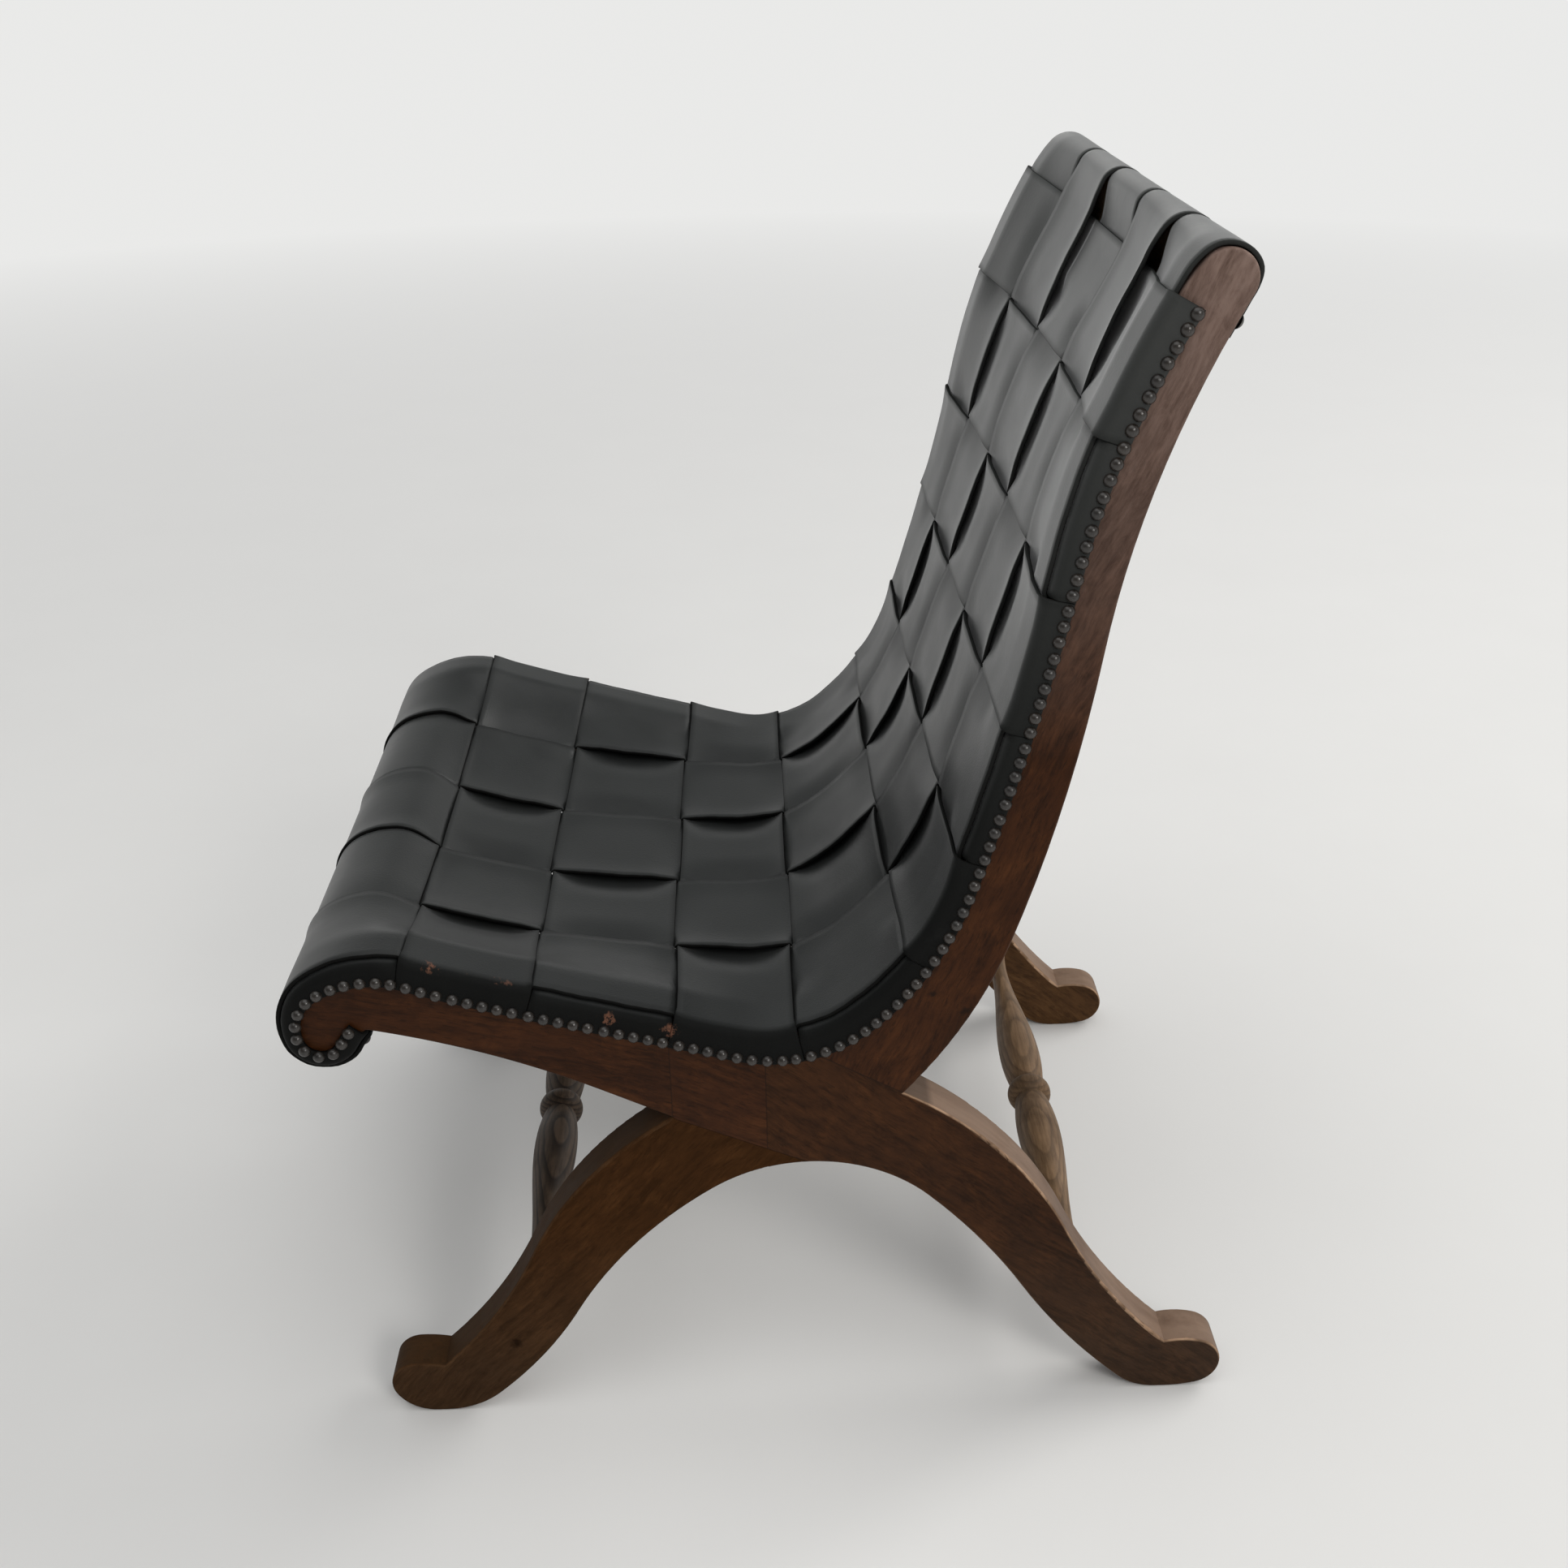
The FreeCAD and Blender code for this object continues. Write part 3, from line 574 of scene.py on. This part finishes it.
railLine = {
    "bend": (-22.8, 312.7, -14.1),  # y, z and heading where the seat turns up into the back
    "scroll": [(58.0, 16.0), (20.6, -136.5), (39.4, -70.4), (74.0, -52.0)],  # radius and turn
    "seat": (205.0, 3.8),  # length and turn
    "hip": [(83.4, 53.2), (190.0, 32.9)],
    "back": (206.0, 7.1),
    "shoulder": (155.0, -18.5),
    "crest": [(80.0, -14.0), (15.8, -164.6)],
    "behind": (25.0, 2.448),
}
noTurn = 1e-9  # radians, below which a run counts as straight


def arc(radius, turn):
    # length and turn in radians, as straight gives them too
    return (radius * abs(math.radians(turn)), math.radians(turn))


def straight(length, turn):
    return (length, math.radians(turn))


def stepPose(pose, length, turn):
    # y, z and heading at the end of a run
    y, z, heading = pose
    half = turn / 2
    chord = length * (np.sin(half) / half if abs(half) > noTurn else 1.0)
    return (y + chord * np.cos(heading + half), z + chord * np.sin(heading + half), heading + turn)


ahead = [arc(*run) for run in railLine["scroll"]] + [straight(*railLine["seat"])]
behind = ([arc(*run) for run in railLine["hip"]]
          + [straight(*railLine["back"]), straight(*railLine["shoulder"])])
over = [arc(*run) for run in railLine["crest"]] + [straight(*railLine["behind"])]
bendY, bendZ, bendTurn = railLine["bend"]
startPose = (bendY, bendZ, math.radians(bendTurn) + math.pi)  # walked backward from the bend
for length, turn in reversed(ahead):
    startPose = stepPose(startPose, length, -turn)
startPose = (startPose[0], startPose[1], startPose[2] + math.pi)
runs = ahead + behind + over
poses = [startPose]
marks = [0.0]
for length, turn in runs:
    poses.append(stepPose(poses[-1], length, turn))
    marks.append(marks[-1] + length)
railLength = sum(length for length, turn in ahead + behind)
pathLength = marks[-1]
crestEnd = pathLength - railLine["behind"][0]
crestLength = crestEnd - railLength


def linePose(along):
    # y, z and heading at distances along the line
    along = np.asarray(along, float)
    index = np.clip(np.searchsorted(marks, along, "right") - 1, 0, len(runs) - 1)
    lengths = np.array([run[0] for run in runs])[index]
    turns = np.array([run[1] for run in runs])[index]
    start = np.array(poses)[index]
    travelled = along - np.array(marks)[index]
    half = turns * travelled / lengths / 2
    bend = np.where(np.abs(half) > noTurn, np.sin(half) / np.where(half == 0, 1, half), 1)
    bearing = start[..., 2] + half
    return (start[..., 0] + travelled * bend * np.cos(bearing),
            start[..., 1] + travelled * bend * np.sin(bearing), start[..., 2] + half * 2)


# Woven leather, in millimetres; "along" is a distance on the line, "lift" a height above it

leather = {
    "thick": 2.6,
    "air": 0.5,  # between layers
    "gap": 2.1,  # between neighbouring straps
    "cut": 0.45,  # bevel of the cut edges
    "cutRims": (0.30, 0.6),  # how raw the top's outermost points and the underside look; on the top's outermost points it is painted shade along the strap's edges
    "longCount": 5,
    "frameHalf": 235.0,
    "boardThick": 30.0,
    "inset": 3.5,  # long straps stop short of the outer face
    "scrollWrap": 173.0,
    "wrapStart": 3.0,
    "rowSpaces": (82.0, 89.0, 80.0, 91.0, 75.0, 86.0, 83.0, 91.0, 81.0),
    "sag": 27.0,
    "sagPower": 3,  # the sag's shape from side to side
    "wrapPlaces": (0.0, 0.45, 0.80),  # shares of the scroll's wrap that have a sag of their own
    "sagShares": (0.10, 0.0, 0.42, 1.04, 1.0, 0.48, -0.08, -0.2, -0.1, 0.02, 0.28, 0.58, 0.70,
                  0.05, 0.0),
    "crestPlace": 0.55,
}

innerHalf = leather["frameHalf"] - leather["boardThick"]
joints = [leather["scrollWrap"] + sum(leather["rowSpaces"][:i])
          for i in range(len(leather["rowSpaces"]) + 1)]
rowCount = len(joints)
lowLift = leather["air"] + leather["thick"] / 2
highLift = lowLift + leather["thick"] + leather["air"]
midLift = (lowLift + highLift) / 2
halfStep = (highLift - lowLift) / 2


def smoothTable(places, values, samples=1500):
    # dense samples of a smooth curve through the values, for np.interp
    places = np.array(places, float)
    values = np.array(values, float)
    before = np.r_[places[0], places[:-1]]
    after = np.r_[places[1:], places[-1]]
    slopes = (np.r_[values[1:], values[-1]] - np.r_[values[0], values[:-1]]) / (after - before)
    dense = np.linspace(places[0], places[-1], samples)
    i = np.clip(np.searchsorted(places, dense, "right") - 1, 0, len(places) - 2)
    span = places[i + 1] - places[i]
    t = (dense - places[i]) / span
    curve = ((1 + 2 * t) * (1 - t) ** 2 * values[i] + t * (1 - t) ** 2 * span * slopes[i]
             + t * t * (3 - 2 * t) * values[i + 1] - t * t * (1 - t) * span * slopes[i + 1])
    return dense, curve


sagPlaces = ([share * leather["scrollWrap"] for share in leather["wrapPlaces"]] + joints
             + [railLength + crestLength * leather["crestPlace"], pathLength])
sagTable = smoothTable(sagPlaces, leather["sagShares"])


def onLeather(x, along, lift):
    # places in metres on the hanging sheet
    y, z, heading = linePose(along)
    across = np.clip(np.abs(x) / innerHalf, 0, 1)
    sag = leather["sag"] * np.interp(along, *sagTable) * (1 - across ** leather["sagPower"])
    height = lift - sag
    place = (x + 0 * y, y - height * np.sin(heading), z + height * np.cos(heading))
    return np.stack(place, -1) * mm


def smoothStep(value):
    value = np.clip(value, 0, 1)
    return value * value * (3 - 2 * value)


def strapEdges(number):
    count = leather["longCount"]
    span = 2 * (leather["frameHalf"] - leather["inset"])
    width = (span - leather["gap"] * (count - 1)) / count
    first = -span / 2 + (number - 1) * (width + leather["gap"])
    return first, first + width


def rowEdges(row):
    first = leather["wrapStart"] if row == 1 else joints[row - 2] + leather["gap"] / 2
    return first, joints[row - 1] - leather["gap"] / 2


weave = {
    "ease": 22.0,  # distance over which straps pass over and under each other
    "dip": 3.6,  # how far an under strap sinks beside the edge above it
    "dipAlong": 0.6,  # share of it that a long strap sinks
    "dipEase": (1.5, 1.3),  # the dips reach farther than the ease, across and along
    "sideRest": (3.0, 22.0),  # bare distance inside the boards, and over which the sheet frees
    "frontRest": (168.0, 14.0),
    "crestRest": (44.0, 14.0),
    "standOff": 8.0,  # the sheet is also free where it stands this far off a rail
}


def sineFall(distance, width):
    # 1 at the joint, easing to 0, so that a strap crosses its neighbour on an even slope
    return 1 - np.sin(np.clip(distance / width, 0, 1) * math.pi / 2)


def roundFall(distance, width):
    return 0.5 + 0.5 * np.cos(np.clip(distance / width, 0, 1) * math.pi)


def hanging(x, along):
    # 1 where the sheet hangs free, less where wood lies close behind it
    sideStart, sideEase = weave["sideRest"]
    frontStart, frontEase = weave["frontRest"]
    crestStart, crestEase = weave["crestRest"]
    sideways = np.clip((innerHalf - sideStart - np.abs(x)) / sideEase, 0, 1)
    front = np.clip((along - frontStart) / frontEase, 0, 1)
    crest = np.clip((railLength - crestStart - along) / crestEase, 0, 1)
    # the rails are straight across, so the sheet stands off them toward the sides
    sideShare = (np.abs(x) / innerHalf) ** leather["sagPower"]
    standOff = leather["sag"] * np.interp(along, *sagTable) * sideShare
    return sideways * np.maximum(np.minimum(front, crest),
                                 np.clip(standOff / weave["standOff"], 0, 1))


def nearness(before, after, hasBefore, hasAfter, dipEase):
    # how near the two edges of a strap's patch are, for the step over them and for the dip
    near = np.zeros(before.shape)
    wide = np.zeros(before.shape)
    for distance, counts in ((before, hasBefore), (after, hasAfter)):
        if counts:
            near = np.maximum(near, sineFall(distance, weave["ease"]))
            wide = np.maximum(wide, roundFall(distance, weave["ease"] * dipEase))
    return near, wide


def weaveLifts(x, along, number, row):
    # lifts of the long strap and of the cross strap where the two cross
    x, along = np.broadcast_arrays(x, along)
    left, rightEdge = strapEdges(number)
    start, end = rowEdges(row)
    over = 1 if (number + row) % 2 == 0 else -1
    easeAcross, easeAlong = weave["dipEase"]
    nearX, wideX = nearness(x - left, rightEdge - x, number > 1, number < leather["longCount"],
                            easeAcross)
    nearS, wideS = nearness(along - start, end - along, row > 1, row < rowCount, easeAlong)
    free = hanging(x, along)
    middle = halfStep * over * (nearX - nearS)
    middle = np.where(middle < 0, middle * free, middle)
    bowS = np.sin(np.clip((along - start) / (end - start), 0, 1) * math.pi)
    bowX = np.sin(np.clip((x - left) / (rightEdge - left), 0, 1) * math.pi)
    dipX = weave["dip"] * bowS * wideX * free
    dipS = weave["dip"] * weave["dipAlong"] * bowX * wideS * free
    longLift = midLift + middle + over * halfStep
    crossLift = midLift + middle - over * halfStep
    if over > 0:
        return longLift - dipS, crossLift - dipX - dipS
    return longLift - dipX - dipS, crossLift - dipX


leatherLook = {
    "black": (0.0070, 0.0077, 0.0075),
    "grey": (0.0140, 0.0155, 0.0150),
    "clouds": (18.0, 5.0, 0.6, 0.3),
    "contrast": (0.30, 0.72),
    "scuff": (0.03, 0.031, 0.030),
    "scuffStretch": 0.10,
    "scuffs": (330.0, 3.0, 0.6),
    "scuffRange": (0.66, 0.78, 0.0, 0.35),
    "rawAndShaded": (0.0036, 0.0034, 0.0031),  # cut edges and undersides: raw leather, darkened further with painted shade in the seams between straps
    "rawAndShadedDepth": 0.8,
    "hazedPale": (0.040, 0.042, 0.040),  # the top of the back: partly paled leather, partly painted haze of light
    "hazePaleRange": (0.42, 0.80),  # metres above the floor
    "hazePaleRaw": 0.35,  # raw edges pale less
    "worn": (0.13, 0.060, 0.038),  # where the black has rubbed off
    "wornRange": (0.05, 0.5),
    "wornShares": (0.7, 0.22),  # of the fine noise and of the place in the spot
    "wornCut": (0.44, 0.50),
    "roughRange": (0.3, 0.75),
    "roughness": (0.36, 0.48),
    "rawRoughness": 0.3,  # added on raw and worn leather
    "shine": (0.46, 0.069),  # of the face and of raw edges
    "shineRange": (0.1, 0.6),
    "dust": (0.06, 0.50),  # pale bloom at a slant, on the seat and up the back
    "dustRange": (0.36, 0.72),
    "dustRaw": (0.0, 0.4, 1.0, 0.0),
    "dustRoughness": 0.35,
    "grain": {"Scale": 950.0, "Smoothness": 0.6},
    "fine": (340.0, 5.0, 0.65),
    "reliefShares": (0.6, 0.7, 0.8),  # of the grain, of the fine noise and, sunk, of worn spots
    "bump": (0.16, 0.0006),
}
wornSpots = [  # place and size in millimetres
    ((236, -207.0, 374.0), 9),
    ((236, -185.0, 370.5), 8),
    ((236, -168.0, 364.5), 9),
    ((236, -160.0, 361.0), 8),
    ((236.5, -102.0, 330.0), 7),
    ((236.5, -64.5, 320.5), 7),
    ((-236, -150, 362), 12),
]


def leatherMaterial(look):
    material, tree, shader = newMaterial("blackLeather")
    place = objectPlace(tree)
    level = axes(tree, place)["Z"]
    rim = add(tree, "ShaderNodeAttribute", {"attribute_name": "rim"}).outputs["Fac"]
    wear = add(tree, "ShaderNodeAttribute", {"attribute_name": "wear"}).outputs["Fac"]
    clouds = noise(tree, place, *look["clouds"])
    fine = noise(tree, place, *look["fine"])
    grain = add(tree, "ShaderNodeTexVoronoi", {"feature": "SMOOTH_F1"}, {"Vector": place},
                look["grain"]).outputs["Distance"]
    scuffPlace = stretch(tree, place, (1.0, look["scuffStretch"], look["scuffStretch"]))
    colour = blend(tree, remap(tree, clouds, *look["contrast"]), look["black"], look["grey"])
    colour = blend(tree, patches(tree, scuffPlace, look["scuffs"], look["scuffRange"]), colour,
                   look["scuff"])
    # cut edges and undersides darker than the face: their raw colour with painted shade in the
    # seams
    colour = blend(tree, times(tree, rim, look["rawAndShadedDepth"]), colour, look["rawAndShaded"])
    # paler toward the top of the back: partly paled leather, partly painted haze of light
    fade = times(tree, remap(tree, level, *look["hazePaleRange"]),
                 minus(tree, 1.0, times(tree, rim, look["hazePaleRaw"])))
    colour = blend(tree, fade, colour, look["hazedPale"])
    fineShare, wearShare = look["wornShares"]
    ragged = plus(tree, times(tree, fine, fineShare), times(tree, wear, wearShare))
    bare = times(tree, remap(tree, wear, *look["wornRange"]),
                 remap(tree, ragged, *look["wornCut"]))
    colour = blend(tree, bare, colour, look["worn"])
    rough = plus(tree, remap(tree, clouds, *look["roughRange"], *look["roughness"]),
                 times(tree, calc(tree, "MAXIMUM", bare, rim), look["rawRoughness"]))
    shine = remap(tree, rim, *look["shineRange"], *look["shine"])
    dust = times(tree, remap(tree, level, *look["dustRange"], *look["dust"]),
                 remap(tree, rim, *look["dustRaw"]))
    feed(tree, shader.inputs["Sheen Weight"], dust)
    shader.inputs["Sheen Roughness"].default_value = look["dustRoughness"]
    grainDepth, fineDepth, bareDepth = look["reliefShares"]
    relief = plus(tree, times(tree, grain, grainDepth), times(tree, fine, fineDepth))
    relief = minus(tree, relief, times(tree, bare, bareDepth))
    finishShader(tree, shader, colour, rough, shine, relief, look["bump"])
    return material


leatherShader = leatherMaterial(leatherLook)


def makeStrap(name, rings, rims, nodeName):
    # rings: stations x ring points x 3; quads across the strap close both ends
    stations, around = rings.shape[:2]
    corners = rings.reshape(-1, 3)
    faces = []
    for i in range(stations - 1):
        for j in range(around):
            k = (j + 1) % around
            faces.append((i * around + j, i * around + k,
                          (i + 1) * around + k, (i + 1) * around + j))
    columns = (around - 4) // 2
    cap = [(j, j + 1, 2 * columns - j, 2 * columns + 1 - j) for j in range(columns - 1)]
    cap += [(columns - 1, columns, columns + 1, columns + 2),
            (2 * columns + 1, 2 * columns + 2, 2 * columns + 3, 0)]
    lastRing = (stations - 1) * around
    faces += [face[::-1] for face in cap]
    faces += [tuple(lastRing + j for j in face) for face in cap]
    mesh = bpy.data.meshes.new(name)
    mesh.from_pydata(corners.tolist(), [], faces)
    mesh.polygons.foreach_set("use_smooth", [True] * len(mesh.polygons))
    rimData = mesh.attributes.new("rim", "FLOAT", "POINT")
    rimData.data.foreach_set("value", np.broadcast_to(rims, (stations, around)).ravel())
    worn = np.zeros(len(corners))
    for spot, size in wornSpots:
        reach = np.linalg.norm(corners - np.array(spot) * mm, axis=1)
        worn = np.maximum(worn, 1 - reach / (size * mm))
    wearData = mesh.attributes.new("wear", "FLOAT", "POINT")
    wearData.data.foreach_set("value", np.clip(worn, 0, 1))
    mesh.materials.append(leatherShader)
    mesh.validate()
    piece = bpy.data.objects.new(name, mesh)
    scene.collection.objects.link(piece)
    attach(piece, "root")
    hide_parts(nodeName)


def ringPlan(halfWidth, columns):
    # across offsets and heights of the points round a strap's section, with bevelled edges
    half = leather["thick"] / 2
    cut = leather["cut"]
    topRim, underRim = leather["cutRims"]
    inner = halfWidth - cut
    flat = np.linspace(-inner, inner, columns)
    across = np.r_[flat, halfWidth, halfWidth, flat[::-1], -halfWidth, -halfWidth]
    height = np.r_[np.full(columns, half), half - cut, cut - half,
                   np.full(columns, -half), cut - half, half - cut]
    # the top's outermost points take part of the raw colour: painted shade along the strap's edges
    top = np.zeros(columns)
    top[[0, -1]] = topRim
    rims = np.r_[top, 1, 1, np.full(columns, underRim), 1, 1]
    return across, height, rims


longStrapShape = {
    "columns": 17,  # points across
    "stations": {"first": 46, "row": 24, "crest": 40},
    "handCut": 0.3,  # wander of the two cut edges
    "handCutPower": 8,  # how close to the edges it stays
    "nearWaves": ((0.19, 2.1, 1.0), (0.47, 1.0, 0.6)),  # radians along and per strap, height
    "farWaves": ((0.17, -1.3, 1.0), (0.53, -1.0, 0.6)),
    "crestTilt": (4.4, 1.6),  # how much prouder the +X edges of over and under straps lie
    "tiltRise": (0.75, 16.0),  # share of the last row, and distance, over which the tilt comes
    "fall": (24.0, 14.0),  # distance in which a strap comes down, and more at its +X edge
    "flatShare": 0.08,  # what is left of the tilt past the top of the crest
    "flatRange": (24.0, 42.0),
    "tailRange": (16.0, 24.0),  # and none is left at the end
    "tailInset": 5.0,  # the outermost strap is cut narrower behind the crest
    "insetRange": (14.0, 12.0),
}


def waveSum(waves, along, number):
    return sum(height * math.sin(along * pace + number * shift) for pace, shift, height in waves)


def handCut(along, share, number):
    # the two cut edges wander a little, each in its own way
    shape = longStrapShape
    near = waveSum(shape["nearWaves"], along, number) * share ** shape["handCutPower"]
    far = waveSum(shape["farWaves"], along, number) * (1 - share) ** shape["handCutPower"]
    return shape["handCut"] * (near + far)


def longStrap(number):
    shape = longStrapShape
    left, rightEdge = strapEdges(number)
    across, height, rims = ringPlan((rightEdge - left) / 2, shape["columns"])
    x = (left + rightEdge) / 2 + across
    share = (x - left) / (rightEdge - left)
    isOver = (number + rowCount) % 2 == 0
    tilt = shape["crestTilt"][0 if isOver else 1]
    riseShare, riseLength = shape["tiltRise"]
    rings = []
    for row in range(1, rowCount + 1):
        start, end = rowEdges(row)
        for along in np.linspace(start, end, shape["stations"]["first" if row == 1 else "row"]):
            lift = weaveLifts(x, along, number, row)[0]
            if row == rowCount and isOver:
                part = (along - start) / (end - start)
                lift = lift + share * tilt * smoothStep(part / riseShare)
            rings.append(onLeather(x + handCut(along, share, number), along, lift + height))
    last = weaveLifts(x, rowEdges(rowCount)[1], number, rowCount)[0]
    start = joints[-1] + leather["gap"] / 2
    fallLength, fallMore = shape["fall"]
    flatBefore, flatLength = shape["flatRange"]
    tailBefore, tailLength = shape["tailRange"]
    insetBefore, insetLength = shape["insetRange"]
    for along in np.linspace(start, pathLength, shape["stations"]["crest"]):
        # the +X edge comes down late and is flat again past the top of the crest
        fall = smoothStep((along - start) / (fallLength + fallMore * share))
        rise = 1.0 if isOver else smoothStep((along - start) / riseLength)
        settle = shape["flatShare"] + (1 - shape["flatShare"]) * smoothStep(
            (crestEnd - flatBefore - along) / flatLength)
        settle = settle * smoothStep((pathLength - tailBefore - along) / tailLength)
        lift = last * (1 - fall) + lowLift * fall + tilt * share * rise * settle
        inset = 0.0
        if number == leather["longCount"]:
            inset = shape["tailInset"] * smoothStep((along - crestEnd + insetBefore) / insetLength)
        rings.append(onLeather(x + handCut(along, share, number) - share * inset, along,
                               lift + height))
    makeStrap("longStrap%d" % number, np.array(rings), rims, "long_strap_%d" % number)


crossStrapShape = {
    "columns": {"first": 46, "row": 19},  # points along the seat or back
    "steps": 22,  # over each long strap
    "fold": 6.0,  # radius where the straps turn down over the frame
    "foldClear": 0.4,
    "foldSteps": 7,
    "flapSteps": 7,
    "flapStart": 0.15,  # share of the flap at which its first station below the fold lies
    "flapBelowNails": 2.8,
    "nailDrops": (7.5, 7.0, 10.5, 12.5, 12.5, 15.0, 9.5, 9.5, 12.0),
    "nailShares": (0.0, 0.08, 0.17, 0.22, 0.38, 0.46, 0.60, 0.85, 1.0),  # of the rail's length
    "flapGap": 0.2,  # between the ends that are nailed down
    "flapRange": (226.0, 8.0),
    "dullShadedEnd": 0.85,  # the turned-down ends are dull and darkened with painted shade, less so up the back where painted light comes in
    "dullShadedRange": (229.0, 8.0),
    "dullShadedAlong": ((500, 900), (1.0, 0.4)),
}
nailTable = smoothTable([railLength * share for share in crossStrapShape["nailShares"]],
                        crossStrapShape["nailDrops"])


def flapLines(side, level, drop):
    # the end that turns down over the outer face, from the fold to its cut edge
    shape = crossStrapShape
    fold = shape["fold"]
    face = leather["frameHalf"] + leather["air"] + leather["thick"] / 2
    lines = []
    for step in np.linspace(0, 1, shape["foldSteps"]):
        turn = step * math.pi / 2
        x = face - fold + fold * math.sin(turn)
        lines.append((np.full(level.shape, side * x), level - fold * (1 - math.cos(turn))))
    low = level - fold
    for step in np.linspace(shape["flapStart"], 1, shape["flapSteps"]):
        lines.append((np.full(level.shape, side * face), low + (-drop - low) * step))
    return lines


def crossStrap(row):
    shape = crossStrapShape
    start, end = rowEdges(row)
    across, height, rims = ringPlan((end - start) / 2,
                                    shape["columns"]["first" if row == 1 else "row"])
    along = (start + end) / 2 + across
    drop = np.interp(along, *nailTable) + shape["flapBelowNails"]
    inFold = shape["fold"] - leather["air"] - leather["thick"] / 2
    inside = leather["frameHalf"] - inFold - shape["foldClear"]
    # middle line of the strap: x and lift from flap to flap, one column per section point
    lines = []
    for number in range(1, leather["longCount"] + 1):
        left, rightEdge = strapEdges(number)
        for x in np.linspace(max(left, -inside), min(rightEdge, inside), shape["steps"]):
            lines.append((np.full(along.shape, x), weaveLifts(x, along, number, row)[1]))
    lines = (flapLines(-1, lines[0][1], drop)[::-1] + lines
             + flapLines(1, lines[-1][1], drop))
    xs = np.array([line[0] for line in lines])
    lifts = np.array([line[1] for line in lines])
    # the nailed ends lie closer to each other than the straps of the weave
    wider = (leather["gap"] - shape["flapGap"]) / (end - start)
    flapFrom, flapLength = shape["flapRange"]
    nailed = smoothStep((np.abs(xs) - flapFrom) / flapLength)
    along = (start + end) / 2 + across * (1 + wider * nailed)
    alongX = np.gradient(xs, axis=0)
    alongL = np.gradient(lifts, axis=0)
    size = np.hypot(alongX, alongL)
    rings = onLeather(xs - alongL / size * height, along, lifts + alongX / size * height)
    # the turned-down ends take the raw edges' dark colour and low shine: painted shade, eased up
    # the back
    dullFrom, dullLength = shape["dullShadedRange"]
    ends = shape["dullShadedEnd"] * smoothStep((np.abs(xs) - dullFrom) / dullLength)
    ends = ends * np.interp(along, *shape["dullShadedAlong"])
    rims = rims * (1 - ends) + ends
    makeStrap("crossStrap%02d" % row, rings[::-1], rims[::-1], "cross_strap_%02d" % row)


for number in range(1, leather["longCount"] + 1):
    longStrap(number)
print("long straps done")
for row in range(1, rowCount + 1):
    crossStrap(row)
print("cross straps done")
